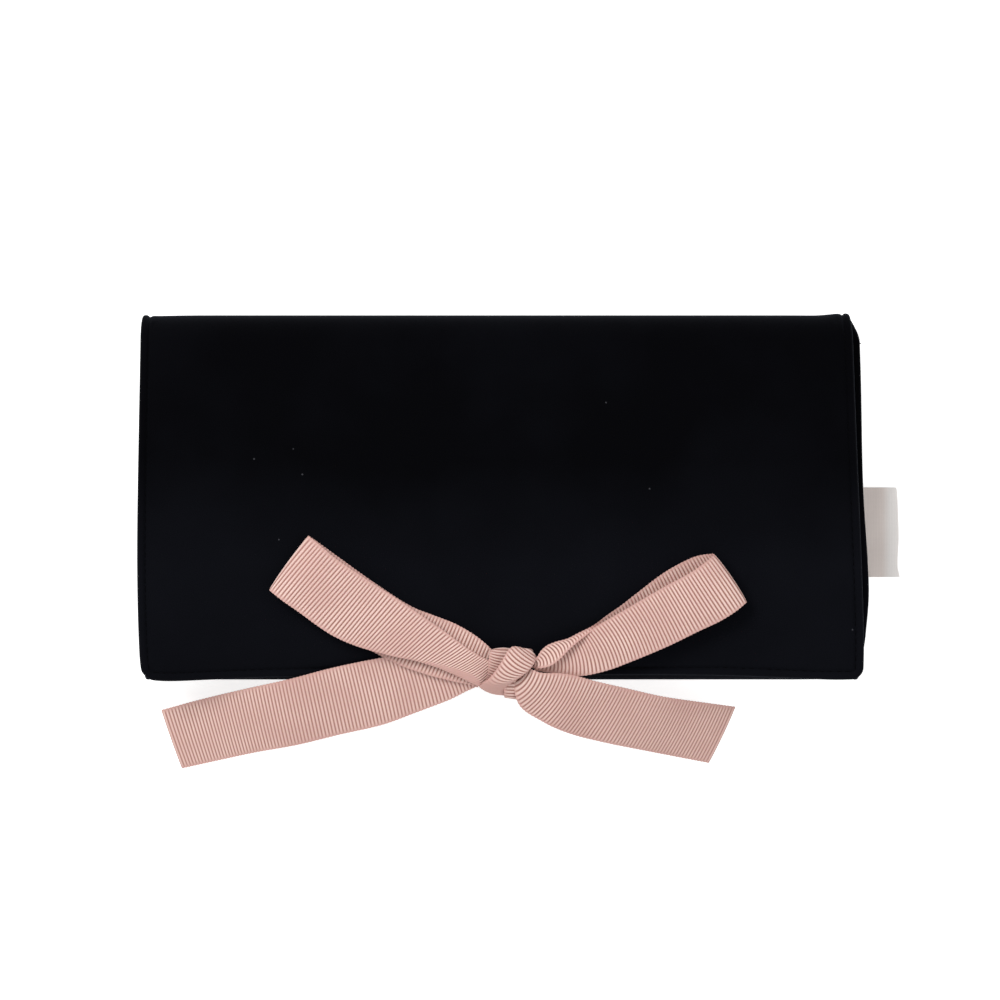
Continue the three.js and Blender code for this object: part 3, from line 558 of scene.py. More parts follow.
def pocket_line(facts, edge, t):
    """A place on a pocket front's topstitching, 2 mm in from one of its four sides."""
    low, high = facts["pocket"]
    side = POCKET_HALF - 2
    upward = low + 2 + (high - low - 4) * t
    x, y = {"foot": (-side + 2 * side * t, low + 2), "left": (-side, upward),
            "right": (side, upward), "zip": (-side + 2 * side * t, high - 2)}[edge]
    return x, y, facts["face"] + facts["out"] * 0.5


def tape_place(facts, side, across, along):
    """A place on one half of a zip's tape, beside its coil."""
    y = facts["lane"] + side * (0.3 + 7.6 * along)
    x = -TAPE_HALF + 2 * TAPE_HALF * across
    lift = 0.3 + 0.1 * bump(along, 0.97, 0.04) + 0.12 * bump(along, 0.1, 0.1)
    lift += ripple(2 * TAPE_HALF * across, y, 9, 0.03)
    return x, y, facts["face"] + facts["out"] * lift


def round_edges(solid, edges, width):
    """Rounds some edges of a mesh by a width in millimetres."""
    bmesh.ops.bevel(solid, geom=edges, offset=width * MM, offset_type="OFFSET", segments=2, profile=0.5,
                    affect="EDGES", clamp_overlap=True, material=-1)


def bevelled(node, body, width):
    """A copy of a hard CAD piece in brass, with its edges rounded."""
    source = bpy.data.objects[node]
    solid = bmesh.new()
    solid.from_mesh(source.data)
    solid.transform(source.matrix_world)
    bmesh.ops.remove_doubles(solid, verts=solid.verts[:], dist=0.01 * MM)
    bmesh.ops.dissolve_limit(solid, angle_limit=math.radians(2), verts=solid.verts[:], edges=solid.edges[:])
    sharp = [e for e in solid.edges if len(e.link_faces) == 2 and e.calc_face_angle(0) > math.radians(35)]
    round_edges(solid, sharp, width)
    return finish_piece(f"{node}_finished", solid, rose_brass, body, smooth=40, stands_for=[node])


for name, facts in zips.items():
    out, face, lane = facts["out"], facts["face"], facts["lane"]
    front = grid_of(150, 44, lambda u, v: pocket_place(facts, u, v), out < 0)
    pocket = finish_piece(f"{name}_pocket_satin", front, pink_satin, name, POCKET_WALL,
                          stands_for=[f"{name}_pocket_front"])
    run = bmesh.new()
    for edge, length in (("foot", 192), ("left", 36), ("right", 36), ("zip", 192)):
        join(run, stitches(lambda t: pocket_line(facts, edge, t), length))
    finish_piece(f"{name}_pocket_stitching", run, thread_materials["rose_thread"], name)
    both = bmesh.new()
    for side in (-1, 1):
        join(both, grid_of(98, 14, lambda u, v: tape_place(facts, side, u, v), side * out < 0))
    tape = finish_piece(f"{name}_zip_tapes", both, zip_weave, name, TAPE_WALL,
                        stands_for=[f"{name}_zip_tape"])
    coil = bmesh.new()
    tooth = bmesh.new()
    bmesh.ops.create_cube(tooth, size=1, matrix=Matrix.Diagonal((0.46 * MM, 2.5 * MM, 0.85 * MM, 1)))
    round_edges(tooth, tooth.edges[:], COIL_WIRE)
    tooth_data = bpy.data.meshes.new("tooth")
    tooth.to_mesh(tooth_data)
    tooth.free()
    for i in range(int(2 * COIL_HALF / COIL_PITCH) * 2):
        start = len(coil.verts)
        coil.from_mesh(tooth_data)
        coil.verts.ensure_lookup_table()
        side = 1 if i % 2 else -1
        spot = Vector((-COIL_HALF + (i + 0.5) * COIL_PITCH / 2, lane + side * 0.42, face + out * 0.98)) * MM
        bmesh.ops.translate(coil, verts=coil.verts[start:], vec=spot)
    bpy.data.meshes.remove(tooth_data)
    for side in (-1, 1):
        turn = Matrix.Rotation(math.radians(90), 4, "Y")
        spot = Matrix.Translation(Vector((0, lane + side * 1.05, face + out * 1.42)) * MM)
        bmesh.ops.create_cone(coil, cap_ends=True, segments=8, radius1=COIL_WIRE * MM, radius2=COIL_WIRE * MM,
                              depth=2 * COIL_HALF * MM, matrix=spot @ turn)
    finish_piece(f"{name}_zip_teeth", coil, nylon_coil, name, stands_for=[f"{name}_zip_coil"])
    for node, body, width in (
        (f"{name}_zip_stop_left", name, 0.25), (f"{name}_zip_stop_right", name, 0.25),
        (f"{name}_slider", f"{name}_slider", 0.18), (f"{name}_pull", f"{name}_pull", 0.12),
    ):
        bevelled(node, body, width)

# Ring roll
# A padded satin tube with gathered ends. Its left end is sewn down by a short tab, and a longer tab
# at its right end carries the press stud's socket and cap.
ROLL_AXIS = (30.0, 12.1)
ROLL_ENDS = (-98.2, 84.2)
ROLL_RADIUS = 6.8


def ring_roll_place(around, along):
    """A place on the roll's tube, with pleats where its ends are gathered and a seam along it."""
    along = widened(along, 0.6)
    length = ROLL_ENDS[1] - ROLL_ENDS[0]
    x = ROLL_ENDS[0] + length * along
    end = min(along, 1 - along) * length
    turn = 2 * math.pi * around
    girth = ROLL_RADIUS * (1 - (1 - min(end / 4.6, 1)) ** 2.4) ** 0.5
    pleat = 0.32 * math.sin(13 * turn + 0.7 * math.sin(3 * turn)) * bump(end, 3.0, 2.6)
    seam = -0.35 * bump(math.cos(turn + 2.2), 1.0, 0.012) * rise(end, 8)
    soft = 0.28 * noise.noise(Vector((x / 17, math.cos(turn) * 1.2, math.sin(turn) * 1.2)))
    radius = girth * (1 + (pleat + seam + soft) / ROLL_RADIUS)
    return x, ROLL_AXIS[0] + radius * math.cos(turn), max(ROLL_AXIS[1] + radius * math.sin(turn), 5.32)


tube = grid_of(84, 150, ring_roll_place)
bmesh.ops.remove_doubles(tube, verts=tube.verts[:], dist=0.005 * MM)
ring_roll = finish_piece("ring_roll_satin", tube, pink_satin, "ring_roll", stands_for=["ring_roll"])


def tab_place(path, across, along, half=5.5):
    """A place on a tab's upper face: across its width, and along a route of (x, z) points."""
    far = along * (len(path) - 1)
    k = min(int(far), len(path) - 2)
    x = path[k][0] + (path[k + 1][0] - path[k][0]) * (far - k)
    z = path[k][1] + (path[k + 1][1] - path[k][1]) * (far - k)
    edge = (0.5 - abs(across - 0.5)) * 2 * half
    turned = 0.3 * roll_share(edge, 0.6) + 0.1 * bump(edge, 1.1, 0.7) - 0.12 * bump(edge, 1.9, 0.3)
    return x, ROLL_AXIS[0] - half + 2 * half * across, z + turned - 0.3


TAB_WALL = 0.85
anchor_route = [
    (-110.2, 5.9), (-108, 5.98), (-105, 6.0), (-102, 6.02), (-100.4, 6.3), (-99.4, 7.1), (-98.9, 8.2),
    (-98.6, 9.3)]
strap_route = [
    (83.4, 9.0), (88, 8.95), (93, 8.95), (98, 8.95), (102, 8.95), (104.6, 8.95), (105.7, 8.8), (106, 8.6)]
for node, body, route in (
    ("ring_anchor_tab", "back", anchor_route), ("ring_roll_tab", "ring_roll", strap_route),
):
    strap = grid_of(28, 40, lambda v, u: tab_place(route, u, v))
    tab = finish_piece(f"{node}_satin", strap, pink_satin, body, TAB_WALL, stands_for=[node])
    length = sum(math.dist(a, b) for a, b in zip(route, route[1:]))
run = bmesh.new()
for x, z in ((-108.6, 6.0), (-103.4, 6.05)):
    join(run, stitches(lambda t: (x, 25.6 + 8.8 * t, z), 9))
finish_piece("ring_anchor_stitching", run, thread_materials["rose_thread"], "back")

# Press stud
# Stamped brass: the stud is riveted to the back panel, and the socket and its domed cap grip the tab.
STUD_X = 98.0


def turned_piece(name, profile, body, node):
    """A round metal piece, turned from a profile of (radius, height) points."""
    lathe = bmesh.new()
    points = [lathe.verts.new(Vector((STUD_X + r, ROLL_AXIS[0], z)) * MM) for r, z in profile]
    edges = [lathe.edges.new(pair) for pair in zip(points, points[1:])]
    bmesh.ops.spin(lathe, geom=points + edges, cent=Vector((STUD_X, ROLL_AXIS[0], 0)) * MM, axis=(0, 0, 1),
                   angle=2 * math.pi, steps=64, use_merge=True)
    bmesh.ops.remove_doubles(lathe, verts=lathe.verts[:], dist=0.01 * MM)
    return finish_piece(name, lathe, rose_brass, body, smooth=35, stands_for=[node])


turned_piece("snap_stud_plate", [
    (0, 5.02), (4.2, 5.02), (4.45, 5.15), (4.5, 5.4), (4.4, 5.7), (4.1, 5.85), (3.7, 5.8), (3.2, 5.62),
    (2.2, 5.6), (1.7, 5.75), (1.5, 6.1), (1.62, 6.6), (1.75, 6.95), (1.65, 7.25), (1.3, 7.38), (0, 7.4)],
    "back", "snap_stud")
turned_piece("snap_socket_ring", [
    (2.1, 6.25), (4.3, 6.22), (4.7, 6.4), (4.8, 6.8), (4.75, 7.6), (4.55, 7.9), (4.2, 7.98), (2.6, 7.98),
    (2.1, 7.8), (1.95, 7.4), (1.9, 6.8), (1.95, 6.4), (2.1, 6.25)], "ring_roll", "snap_socket")
turned_piece("snap_cap_dome", [
    (0, 9.0), (5.3, 9.0), (5.5, 9.12), (5.5, 9.35), (5.3, 9.55), (4.9, 9.62), (4.6, 9.6), (4.3, 9.75),
    (3.4, 10.12), (2.2, 10.4), (1.0, 10.49), (0, 10.5)], "ring_roll", "snap_cap")

# Side label
# A bare tab of cream woven tape, folded double and caught in the back panel's right seam.
LABEL_TOP, LABEL_LOW, LABEL_WALL = 3.4, -26.4, 0.22
label_places = {
    "seam": [(LABEL_LOW, 119.2), (LABEL_TOP, 117.6)],
    "fold": [(LABEL_LOW, 132.1), (-22.3, 131.4), (-13, 131.75), (LABEL_TOP - 1.5, 131.2), (LABEL_TOP, 130.9)],
}
label_weave, tree, coords = start_material("cream_woven_tape")
label_x = add_node(tree, "SeparateXYZ", {"Vector": coords}).outputs["X"]
label_band = add_node(tree, "MapRange", {
    "Value": label_x, "From Min": 0.1262, "From Max": 0.1286, "To Min": 0.0, "To Max": 1.0})
label_height = woven_height(tree, coords, 1.7, 1.3, 0.6, "ADD")
label_base = add_node(tree, "Mix", {"Factor": label_band, "A": "#f7ece6", "B": "#fdf9f6"})
label_grain = add_node(tree, "MapRange", {
    "Value": label_height, "From Max": 2.0, "To Min": 0.93, "To Max": 1.02})
label_colour = add_node(tree, "Mix", {
    "Factor": 1.0, "A": label_base, "B": label_grain}, blend_type="MULTIPLY")
label_bump = add_node(tree, "Bump", {"Height": label_height, "Strength": 0.35, "Distance": 0.0001})
end_material(tree, label_colour, 0.85, 0.2, {"Sheen Weight": 0.1, "Normal": label_bump})


def label_place(along, across):
    """A place on the folded label: out along its upper leaf, round the fold and back underneath."""
    y = LABEL_LOW + (LABEL_TOP - LABEL_LOW) * across
    seam, fold = smooth_through(label_places["seam"], y), smooth_through(label_places["fold"], y)
    leaf = min(along, 1 - along) * 2
    x = seam + (fold - seam) * (1 - (1 - leaf) ** 1.5)
    apart = 0.32 * roll_share((1 - leaf) * 6, 0.5) * (1 if along < 0.5 else -1)
    sag = 2.6 - 0.5 * rise(x - seam, 14) + ripple(x, y, 9, 0.35, 8.2) * rise(x - seam, 8)
    return x, y, sag + apart


leaf = grid_of(96, 48, label_place)
label = finish_piece("side_label_tape", leaf, label_weave, "back", LABEL_WALL, stands_for=["side_label"])

# Grosgrain ribbon
# Dusty rose polyester grosgrain, 20 mm wide: thick ribs lie across it, 1.2 mm apart, between two
# woven selvages, alike on both faces. One ribbon end is sewn to the flap's hem, one to the lower fold.
RIB_PITCH, RIB_STEPS, RIB_DEPTH = 1.18, 6, 0.24
RIBBON_WALL, SELVAGE, RIBBON_COLUMNS, CURVE_POINTS = 0.4, 0.55, 14, 300
PX_PER_MM, PHOTO_SIZE = 3.04, 1000
LENS_HEIGHT, SCALE_HEIGHT = 2400.0, 24.0
CENTRE = (-0.66, -0.82)


def at_pixel(px, py, z):
    """The place at a height, in millimetres, that the camera over the roll sees at a pixel."""
    span = (LENS_HEIGHT - z) / (LENS_HEIGHT - SCALE_HEIGHT) / PX_PER_MM
    across, upward = px - PHOTO_SIZE / 2, PHOTO_SIZE / 2 - py
    return Vector((CENTRE[0] + across * span, CENTRE[1] + upward * span, z))


def curve_through(points, count):
    """Evenly many points on a smooth curve through the given ones."""
    line = [points[0] * 2 - points[1], *points, points[-1] * 2 - points[-2]]
    knots = [0.0]
    for a, b in zip(line, line[1:]):
        knots.append(knots[-1] + max((b - a).length, 1e-4) ** 0.5)
    result = []
    for i in range(count):
        t = knots[1] + (knots[-2] - knots[1]) * i / (count - 1)
        k = min(max(j for j in range(1, len(points)) if knots[j] <= t + 1e-9), len(points) - 1)
        p, u = line[k - 1:k + 3], knots[k - 1:k + 3]

        def mix(a, b, ua, ub):
            return a + (b - a) * ((t - ua) / (ub - ua))

        q = [mix(p[j], p[j + 1], u[j], u[j + 1]) for j in range(3)]
        r = [mix(q[j], q[j + 1], u[j], u[j + 2]) for j in range(2)]
        result.append(mix(r[0], r[1], u[1], u[2]))
    return result


def seen_borders(rows):
    """The two borders of a ribbon whose rows give an upper pixel, a lower pixel and their heights."""
    return [at_pixel(x, y, z) for x, y, _, _, z, _ in rows], [at_pixel(x, y, z) for _, _, x, y, _, z in rows]


def lead_borders(route):
    """The two borders of a sewn ribbon end, 12 mm wide, that climbs a route of (y, z) points."""
    return [[Vector((x, y, z)) for y, z in route] for x in (-5.7, 6.3)]


def along_curve(points, run, far):
    """The point at a distance along a curve whose points' distances are in run."""
    k = next((j for j in range(1, len(run)) if run[j] >= far - 1e-9), len(run) - 1)
    return points[k - 1].lerp(points[k], (far - run[k - 1]) / max(run[k] - run[k - 1], 1e-9))


def ribbon_mesh(borders, cup=0.0, bow=((0, 0),), squeeze=((0, 1),), ribs=((0, 1),), plain=((0, 0),)):
    """A ribbed ribbon between two borders, and its length along the middle.

    cup lifts the middle of its width. By (share of the length, value): bow bends the ribs along the
    ribbon, squeeze crowds them, ribs is how strong they are, and plain how wide they stay off one border.
    """
    upper, lower = (curve_through(border, CURVE_POINTS) for border in borders)
    middle = [(a + b) / 2 for a, b in zip(upper, lower)]
    length = sum((b - a).length for a, b in zip(middle, middle[1:]))
    run = [0.0]
    for i, (a, b) in enumerate(zip(middle, middle[1:])):
        run.append(run[-1] + (b - a).length / smooth_through(squeeze, i / (CURVE_POINTS - 1)))
    steps = max(int(round(run[-1] / RIB_PITCH)), 2) * RIB_STEPS
    rows = [(along_curve(upper, run, run[-1] * i / steps), along_curve(lower, run, run[-1] * i / steps))
            for i in range(steps + 1)]
    strength = {}

    def place(along, across, side):
        i = int(round(along * steps))
        (upper_before, lower_before), (high, low) = rows[max(i - 1, 0)], rows[i]
        upper_after, lower_after = rows[min(i + 1, steps)]
        onward = (upper_after + lower_after - upper_before - lower_before).normalized()
        normal = onward.cross(high - low).normalized()
        width = (high - low).length
        share = i / steps
        edge = min((1 - across) * width, across * width - smooth_through(plain, share))
        clear = min(max((edge - SELVAGE + 0.25) / 0.5, 0), 1)
        ribbed = clear * smooth_through(ribs, share)
        ridge = abs(math.sin(math.pi * i / RIB_STEPS))
        bead = 0.06 * ridge * (1 - clear) - 0.12 * bump(min(across, 1 - across) * width, 0, 0.25)
        half = RIBBON_WALL / 2 + RIB_DEPTH * (ridge - 0.6) * ribbed + bead
        arch = 4 * across * (1 - across)
        strength[(i, int(round(across * RIBBON_COLUMNS)))] = ribbed
        spot = low.lerp(high, across) + normal * (cup * arch + side * half)
        spot += (high - low).normalized() * (0.16 * (2 * across - 1) ** 9 * (ridge - 0.5))
        return spot + onward * (smooth_through(bow, share) * arch)

    cloth = bmesh.new()
    for side in (1, -1):
        join(cloth, grid_of(steps, RIBBON_COLUMNS, lambda u, v: place(u, v, side), side < 0))
    weave = cloth.loops.layers.uv.new("weave")
    cloth.verts.ensure_lookup_table()
    per_face = (steps + 1) * (RIBBON_COLUMNS + 1)
    for face in cloth.faces:
        for loop in face.loops:
            number = loop.vert.index % per_face
            i, j = number % (steps + 1), number // (steps + 1)
            loop[weave].uv = (i / RIB_STEPS, strength[(i, j)])
    bmesh.ops.bridge_loops(cloth, edges=[edge for edge in cloth.edges if edge.is_boundary])
    return cloth, length


# Grosgrain weave: round ribs whose grooves are painted dark and crests painted light, a painted shade and
# highlight over their relief; fine threads over each rib, and plain selvages where the ribs end.
grosgrain, tree, coords = start_material("polyester_grosgrain")
rib_uv = add_node(tree, "UVMap", uv_map="weave").outputs["UV"]
rib_axes = add_node(tree, "SeparateXYZ", {"Vector": rib_uv})
rib_turn = add_node(tree, "Math", {0: rib_axes.outputs["X"], 1: math.pi}, operation="MULTIPLY")
rib_wave = add_node(tree, "Math", {0: rib_turn}, operation="SINE")
rib_top = add_node(tree, "Math", {0: rib_wave}, operation="ABSOLUTE")
# Painted shade and highlight: each groove between the ribs is coloured dark and each crest light.
rib_shade = add_node(tree, "MapRange", {
    "Value": rib_top, "From Min": 0.2, "From Max": 0.95, "To Min": 0.0, "To Max": 1.0})
painted_rib_shading = add_node(tree, "Mix", {"Factor": rib_shade, "A": "#955f53", "B": "#f0d0c6"})
plain_or_ribbed = add_node(tree, "Mix", {"Factor": rib_axes.outputs["Y"], "A": "#d0a59c", "B": painted_rib_shading})
thread = add_node(tree, "TexNoise", {"Vector": coords, "Scale": 1 / (0.3 * MM), "Detail": 1.0})
# Painted shade: random soft patches, about 14 mm across, darken the ribbon in place of the shade of its
# waves.
cloudy = add_node(tree, "TexNoise", {"Vector": coords, "Scale": 1 / (14 * MM), "Detail": 2.0})
painted_wave_shade_share = add_node(tree, "MapRange", {
    "Value": cloudy, "From Min": 0.35, "From Max": 0.65, "To Min": 0.0, "To Max": 0.32})
with_painted_wave_shade = add_node(tree, "Mix", {"Factor": painted_wave_shade_share, "A": plain_or_ribbed, "B": "#c1928a"})
speckled = add_node(tree, "Mix", {
    "Factor": 0.25, "A": with_painted_wave_shade, "B": thread.outputs["Color"]}, blend_type="SOFT_LIGHT")
thread_bump = add_node(tree, "Bump", {"Height": thread, "Strength": 0.4, "Distance": 0.0001})
end_material(tree, speckled, 0.6, 0.3, {
    "Sheen Weight": 0.1, "Sheen Roughness": 0.4, "Sheen Tint": "#ffe6df", "Normal": thread_bump})

# The bow is tied at the flap's lower edge. Each loop leaves the knot, turns over at its tip and comes
# back underneath; near the knot the ribbon gathers, and its ribs crowd and fan.
left_loop_rows = [
    (488, 680, 478.5, 686, 27.6, 27.4), (490, 671, 473, 684, 28.6, 28.2),
    (490.5, 662.5, 465, 680, 29.4, 28.9), (478, 655, 449, 672.5, 30.0, 29.6),
    (462, 644.5, 432, 665.8, 30.4, 30.0), (443, 630.5, 413, 660.3, 30.8, 30.3),
    (425, 618, 392, 656, 31.2, 30.7), (392, 595.8, 356.4, 646, 31.8, 31.3),
    (367, 579.8, 331, 634.6, 32.2, 31.8), (336, 558.8, 297, 610.8, 32.4, 32.1),
    (320, 545.5, 281, 599.6, 32.0, 31.7), (308.6, 536, 269.6, 590.2, 29.9, 29.7),
    (312, 538, 273, 592, 27.8, 27.7), (330, 551, 294, 606.5, 27.5, 27.4),
    (375, 583.2, 342, 634.5, 27.4, 27.35), (412, 606.8, 382, 656.5, 27.45, 27.35),
    (432.5, 615, 403, 666.5, 27.6, 27.3), (454.4, 623.5, 430, 675.5, 27.8, 27.2),
    (473, 634, 452, 681, 28.0, 27.1), (485, 643.2, 468, 684.5, 28.0, 27.0),
    (492, 650, 478, 687.5, 27.8, 26.8),
]
right_loop_rows = [
    (533, 664, 534, 670.5, 27.7, 27.5), (544, 656, 546, 672, 27.9, 27.6), (556, 648, 560, 674, 28.2, 27.6),
    (566, 642.5, 572, 676, 28.4, 27.7), (575, 637.5, 585, 675.5, 28.9, 28.0),
    (588, 631.5, 610, 669.6, 30.2, 28.9), (603, 622.3, 627, 663.2, 31.0, 29.8),
    (620, 612.8, 645, 656, 31.6, 30.5), (645, 598, 671, 644.8, 32.2, 31.2),
    (668, 585, 697, 632, 32.7, 31.8), (690, 573, 722.5, 619.8, 32.9, 32.1),
    (705, 562.5, 737.8, 609.8, 32.5, 31.8), (713.6, 554.5, 746.4, 602.4, 30.2, 29.8),
    (709, 554.2, 742, 605.5, 27.7, 27.5), (696.6, 556.2, 727, 608, 27.1, 26.9),
    (679.4, 563.8, 708, 615, 27.0, 26.9), (662.2, 574, 688, 623, 27.1, 26.9),
    (636.4, 593.6, 656, 632, 27.5, 27.1), (620, 606.3, 632, 628, 28.0, 27.8),
    (606, 616.0, 610, 625, 29.0, 29.2), (593.3, 625.5, 595, 629.5, 30.2, 30.4),
    (580, 632.3, 584, 637, 30.6, 31.0), (567, 638.8, 574, 645, 30.8, 31.2),
    (556, 641.8, 566, 652.5, 30.8, 31.2), (546.5, 645.8, 559.5, 659.3, 30.7, 31.1),
    (540.5, 651.5, 551, 665.5, 30.4, 30.8), (537, 657, 542, 668, 29.8, 30.0),
    (531, 660, 532, 668, 28.4, 28.6),
]
left_tail_rows = [
    (468, 670, 478, 686, 25.9, 25.3), (450, 665, 466, 691.5, 25.9, 24.6), (432, 660, 451, 699.1, 25.8, 23.6),
    (400, 655.5, 415.6, 712.7, 26.0, 22.2), (370, 660, 383.4, 724.5, 25.8, 21.4),
    (330, 668.5, 339.5, 734.6, 25.0, 19.0), (290.5, 678.9, 297.3, 744.8, 23.6, 16.5),
    (247, 688.5, 255, 752.4, 18.5, 11.5), (201, 699.4, 215, 761, 10.5, 5.8),
    (161.4, 710, 182, 768.3, 4.8, 2.4),
]
right_tail_rows = [
    (528, 668.5, 512.5, 682, 30.0, 29.0), (530.6, 669, 514.5, 690, 30.8, 29.2),
    (534.5, 670.6, 516.4, 699, 31.2, 28.8), (540, 672.6, 520, 706, 31.3, 28.2),
    (548, 673.2, 527, 712.5, 31.2, 27.3), (560, 673.4, 538, 719, 30.9, 26.4),
    (574, 675.5, 553, 727, 30.4, 25.1), (594.5, 681, 574.5, 735, 29.0, 22.5),
    (627, 688.5, 608, 743.2, 25.2, 19.4), (662, 696.4, 641.2, 749.8, 20.0, 14.8),
    (698, 701.8, 673.2, 756, 12.5, 9.0), (735.4, 706.8, 708.7, 762.8, 4.8, 2.6),
]
knot_band_rows = [
    (492, 678, 503, 690, 24.6, 24.6), (479.5, 686.8, 505.5, 695.5, 26.8, 26.4),
    (482, 684, 505, 690.5, 29.4, 28.6), (485.5, 681.3, 506.5, 686.6, 31.0, 30.2),
    (489, 678.7, 510.5, 683.7, 31.9, 31.2), (495, 671.6, 514.7, 681, 32.7, 32.0),
    (499.6, 665, 519.2, 678, 33.2, 32.6), (504.5, 656.8, 524.3, 674.4, 33.3, 32.8),
    (507.5, 651, 528, 671.3, 32.8, 32.6), (511.5, 647.2, 531.6, 667.3, 31.9, 32.0),
    (517, 646.6, 534, 663.6, 30.8, 31.2), (524, 648.6, 535.4, 660, 29.4, 30.0),
    (531, 650.8, 535.6, 656, 27.8, 28.2), (531, 654, 516, 668, 25.6, 25.6),
]
knot_wrap_rows = [
    (485.5, 681, 507, 686, 28.0, 25.0), (487, 677, 510, 680, 29.2, 26.5),
    (488, 670, 513, 673, 29.8, 28.0), (488.5, 662.5, 515, 664, 30.0, 28.6),
    (489, 656, 516, 656, 30.0, 28.6), (490, 652, 516, 652, 29.4, 27.8),
    (492, 649.6, 515, 650.4, 28.2, 27.0), (495, 652, 514, 653, 26.4, 26.0),
]
knot_tuck_rows = [
    (504.5, 697.5, 527, 700, 27.4, 26.0), (504.2, 694, 527, 694, 28.8, 26.8),
    (504.3, 689, 527.5, 689, 29.6, 27.6), (505, 684.5, 528, 684, 29.9, 28.2),
    (506, 678, 529, 677, 29.8, 28.2), (507, 670, 530, 669, 29.6, 28.2), (508, 662, 530, 662, 29.2, 28.0),
]
flap_lead_route = [
    (-56.5, 21.45), (-59, 21.4), (-60.7, 21.6), (-61.2, 22.5), (-61.0, 23.6), (-59.8, 24.8), (-58, 25.6)]
back_lead_route = [
    (-60.35, 5.7), (-60.7, 8), (-61.3, 12), (-62.0, 16), (-62.6, 20), (-62.7, 22), (-62.4, 23.4)]
# The knot's ribbons are folded in half, to 10 mm. They are given as 10.2, just over a sheet's least side.
LOOP_CUT, KNOT_CUT, LEAD_CUT = 20.0, 10.2, 12.0
ribbons = {
    "left_loop_ribbon": ("bow_loop_left", "bow_loop_left", seen_borders(left_loop_rows), LOOP_CUT, {
        "cup": -0.5, "bow": [(0, -0.6), (0.2, 0)], "squeeze": [(0, 0.6), (0.08, 0.72), (0.2, 1)],
        "plain": [(0, 1.5), (0.05, 2.8), (0.12, 1.4), (0.17, 0)]}),
    "right_loop_ribbon": ("bow_loop_right", "bow_loop_right", seen_borders(right_loop_rows), LOOP_CUT, {
        "cup": 0.5, "bow": [(0, 0.5), (0.06, 1.1), (0.2, 1.0), (0.4, 0), (0.8, 0), (0.92, -0.9), (1, -0.7)]}),
    "left_tail_ribbon": ("bow_tail_left", "bow_tail_left", seen_borders(left_tail_rows), LOOP_CUT, {
        "cup": -0.4, "bow": [(0, -0.7), (0.3, -0.2), (0.6, 0)], "ribs": [(0, 1), (0.25, 0.85), (1, 0.85)]}),
    "right_tail_ribbon": ("bow_tail_right", "bow_tail_right", seen_borders(right_tail_rows), LOOP_CUT, {
        "cup": 0.5, "bow": [(0, 1.2), (0.15, 1.3), (0.4, 0.2), (1, 0)],
        "ribs": [(0, 1), (0.3, 0.9), (0.6, 0.65)]}),
    "knot_band_ribbon": ("flap", "bow_knot_band", seen_borders(knot_band_rows), KNOT_CUT, {
        "cup": 0.6, "bow": [(0, -1.2), (0.3, -1.1), (1, -0.9)],
        "ribs": [(0, 0), (0.3, 0.1), (0.42, 1), (1, 1)]}),
    "knot_wrap_ribbon": ("flap", "bow_knot_core", seen_borders(knot_wrap_rows), KNOT_CUT, {
        "cup": 0.3, "bow": [(0, -0.3), (0.5, -0.6), (1, -1.0)], "squeeze": [(0, 0.8)]}),
    "knot_tuck_ribbon": ("flap", "bow_knot_core", seen_borders(knot_tuck_rows), KNOT_CUT, {"cup": 0.3}),
    "flap_lead_ribbon": ("flap", "flap_ribbon_lead", lead_borders(flap_lead_route), LEAD_CUT, {"cup": 0.3}),
    "back_lead_ribbon": (
        "bottom_spine", "back_ribbon_lead", lead_borders(back_lead_route), LEAD_CUT, {"cup": 0.3}),
}
# The loops and tails, with two distances in mm from their hinge near the knot. They are baked in place with
# no body.
bends = {
    "bow_loop_left": (2, 15), "bow_loop_right": (3, 16), "bow_tail_left": (6, 19), "bow_tail_right": (0, 14)}
for name, (body, node, borders, cut, shape) in ribbons.items():
    mesh, length = ribbon_mesh(borders, **shape)
    held = None if body in bends else body
    ribbon = finish_piece(name, mesh, grosgrain, held, 0, 60, [node])
    if body in bends:
        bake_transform(ribbon)

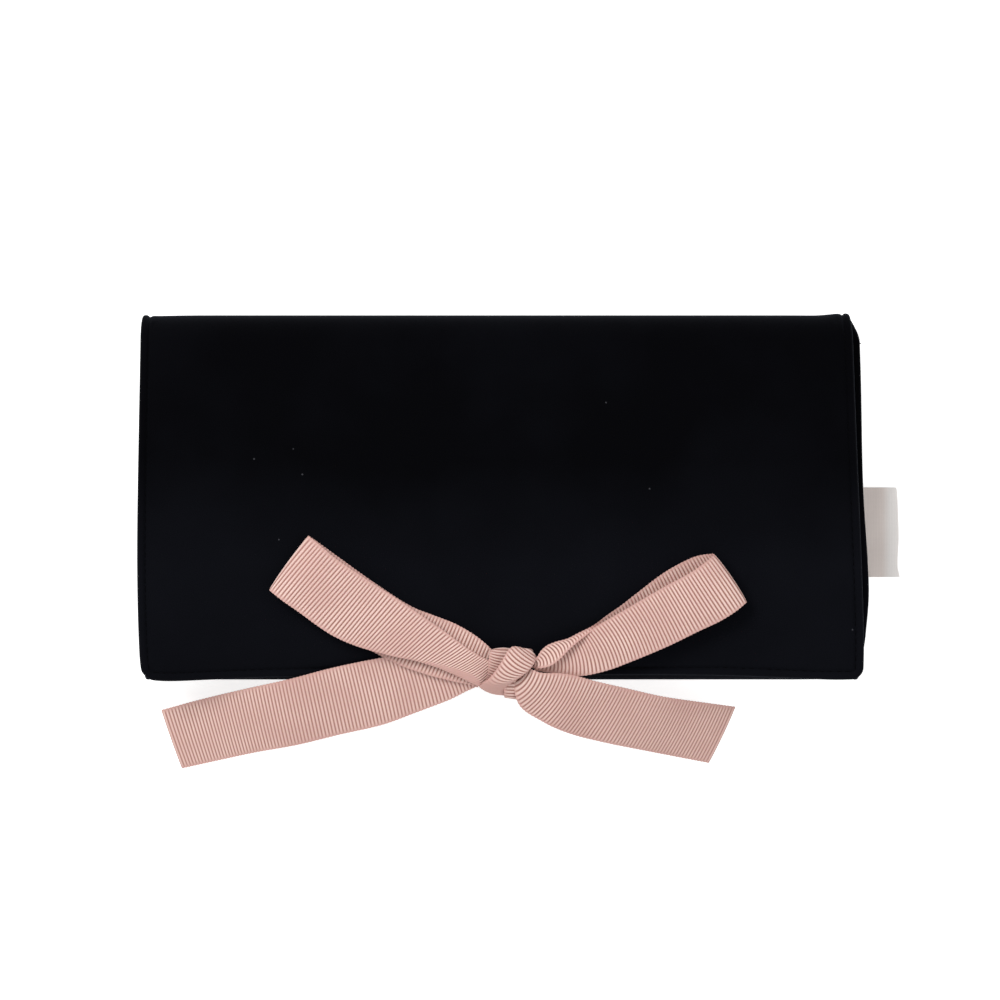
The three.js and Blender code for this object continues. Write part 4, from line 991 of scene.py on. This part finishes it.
# The heart of the knot is the same ribbon, pulled into a tight bundle that the band hides.
HEART_PIXEL, HEART_HEIGHT, HEART_RADII, HEART_TURN = (509.5, 669), 28.0, (8.0, 4.0, 3.0), 51
bundle = bmesh.new()
lie = Matrix.Rotation(math.radians(HEART_TURN), 4, "Z") @ Matrix.Diagonal([r * MM for r in HEART_RADII] + [1])
spot = Matrix.Translation(at_pixel(*HEART_PIXEL, HEART_HEIGHT) * MM) @ lie
bmesh.ops.create_uvsphere(bundle, u_segments=48, v_segments=32, radius=1)
for corner in bundle.verts:
    corner.co = spot @ (corner.co * (1 + 0.05 * math.sin(9 * math.atan2(corner.co.z, corner.co.y))))
bundle.loops.layers.uv.new("weave")
core = finish_piece("knot_heart_ribbon", bundle, grosgrain, "flap", 0, 60, ["bow_knot_core"])

# The floor
# A wide pale sweep of paper under the roll. It shows white to the camera and keeps the soft shadow.
paper, tree, _ = start_material("white_paper")
lift = add_node(tree, "Math", {0: seen_directly(tree), 1: 0.75}, operation="MULTIPLY")
end_material(tree, "#f1f1f0", 0.9, 0.1, {"Emission Color": "#ffffff", "Emission Strength": lift})
sweep = bmesh.new()
bmesh.ops.create_grid(sweep, x_segments=4, y_segments=4, size=3.0)
floor = finish_piece("floor", sweep, paper, None)

# Light
# A white sky all round and one broad soft lamp from the upper left, as over a product table.
sky = bpy.data.worlds.new("studio_sky")
bpy.context.scene.world = sky
sky.use_nodes = True
tree = sky.node_tree
tree.nodes.clear()
strength = add_node(tree, "MapRange", {"Value": seen_directly(tree), "To Min": 0.55, "To Max": 1.0})
colour = add_node(tree, "Background", {"Color": "#ffffff", "Strength": strength})
add_node(tree, "OutputWorld", {"Surface": colour})
for name, place, size, watts in (
    ("key", (-0.75, 0.65, 1.1), 0.7, 13.0),
    ("fill", (0.9, -0.5, 1.2), 1.2, 5.0),
):
    lamp = bpy.data.lights.new(name, "AREA")
    lamp.size = size
    lamp.energy = watts
    light = bpy.data.objects.new(name, lamp)
    light.location = place
    light.rotation_euler = (-Vector(place)).to_track_quat("-Z", "Y").to_euler()
    bpy.context.scene.collection.objects.link(light)

# Camera
# Straight above the roll, far off with a long lens, framed as in the photograph.
SENSOR = 36.0
camera_data = bpy.data.cameras.new("camera")
camera_data.sensor_width = SENSOR
camera_data.lens = SENSOR * (LENS_HEIGHT - SCALE_HEIGHT) * PX_PER_MM / PHOTO_SIZE
camera_data.clip_end = 20.0
camera = bpy.data.objects.new("camera", camera_data)
camera.location = (CENTRE[0] * MM, CENTRE[1] * MM, LENS_HEIGHT * MM)
bpy.context.scene.collection.objects.link(camera)
bpy.context.scene.camera = camera
bpy.context.scene.view_settings.view_transform = "Standard"
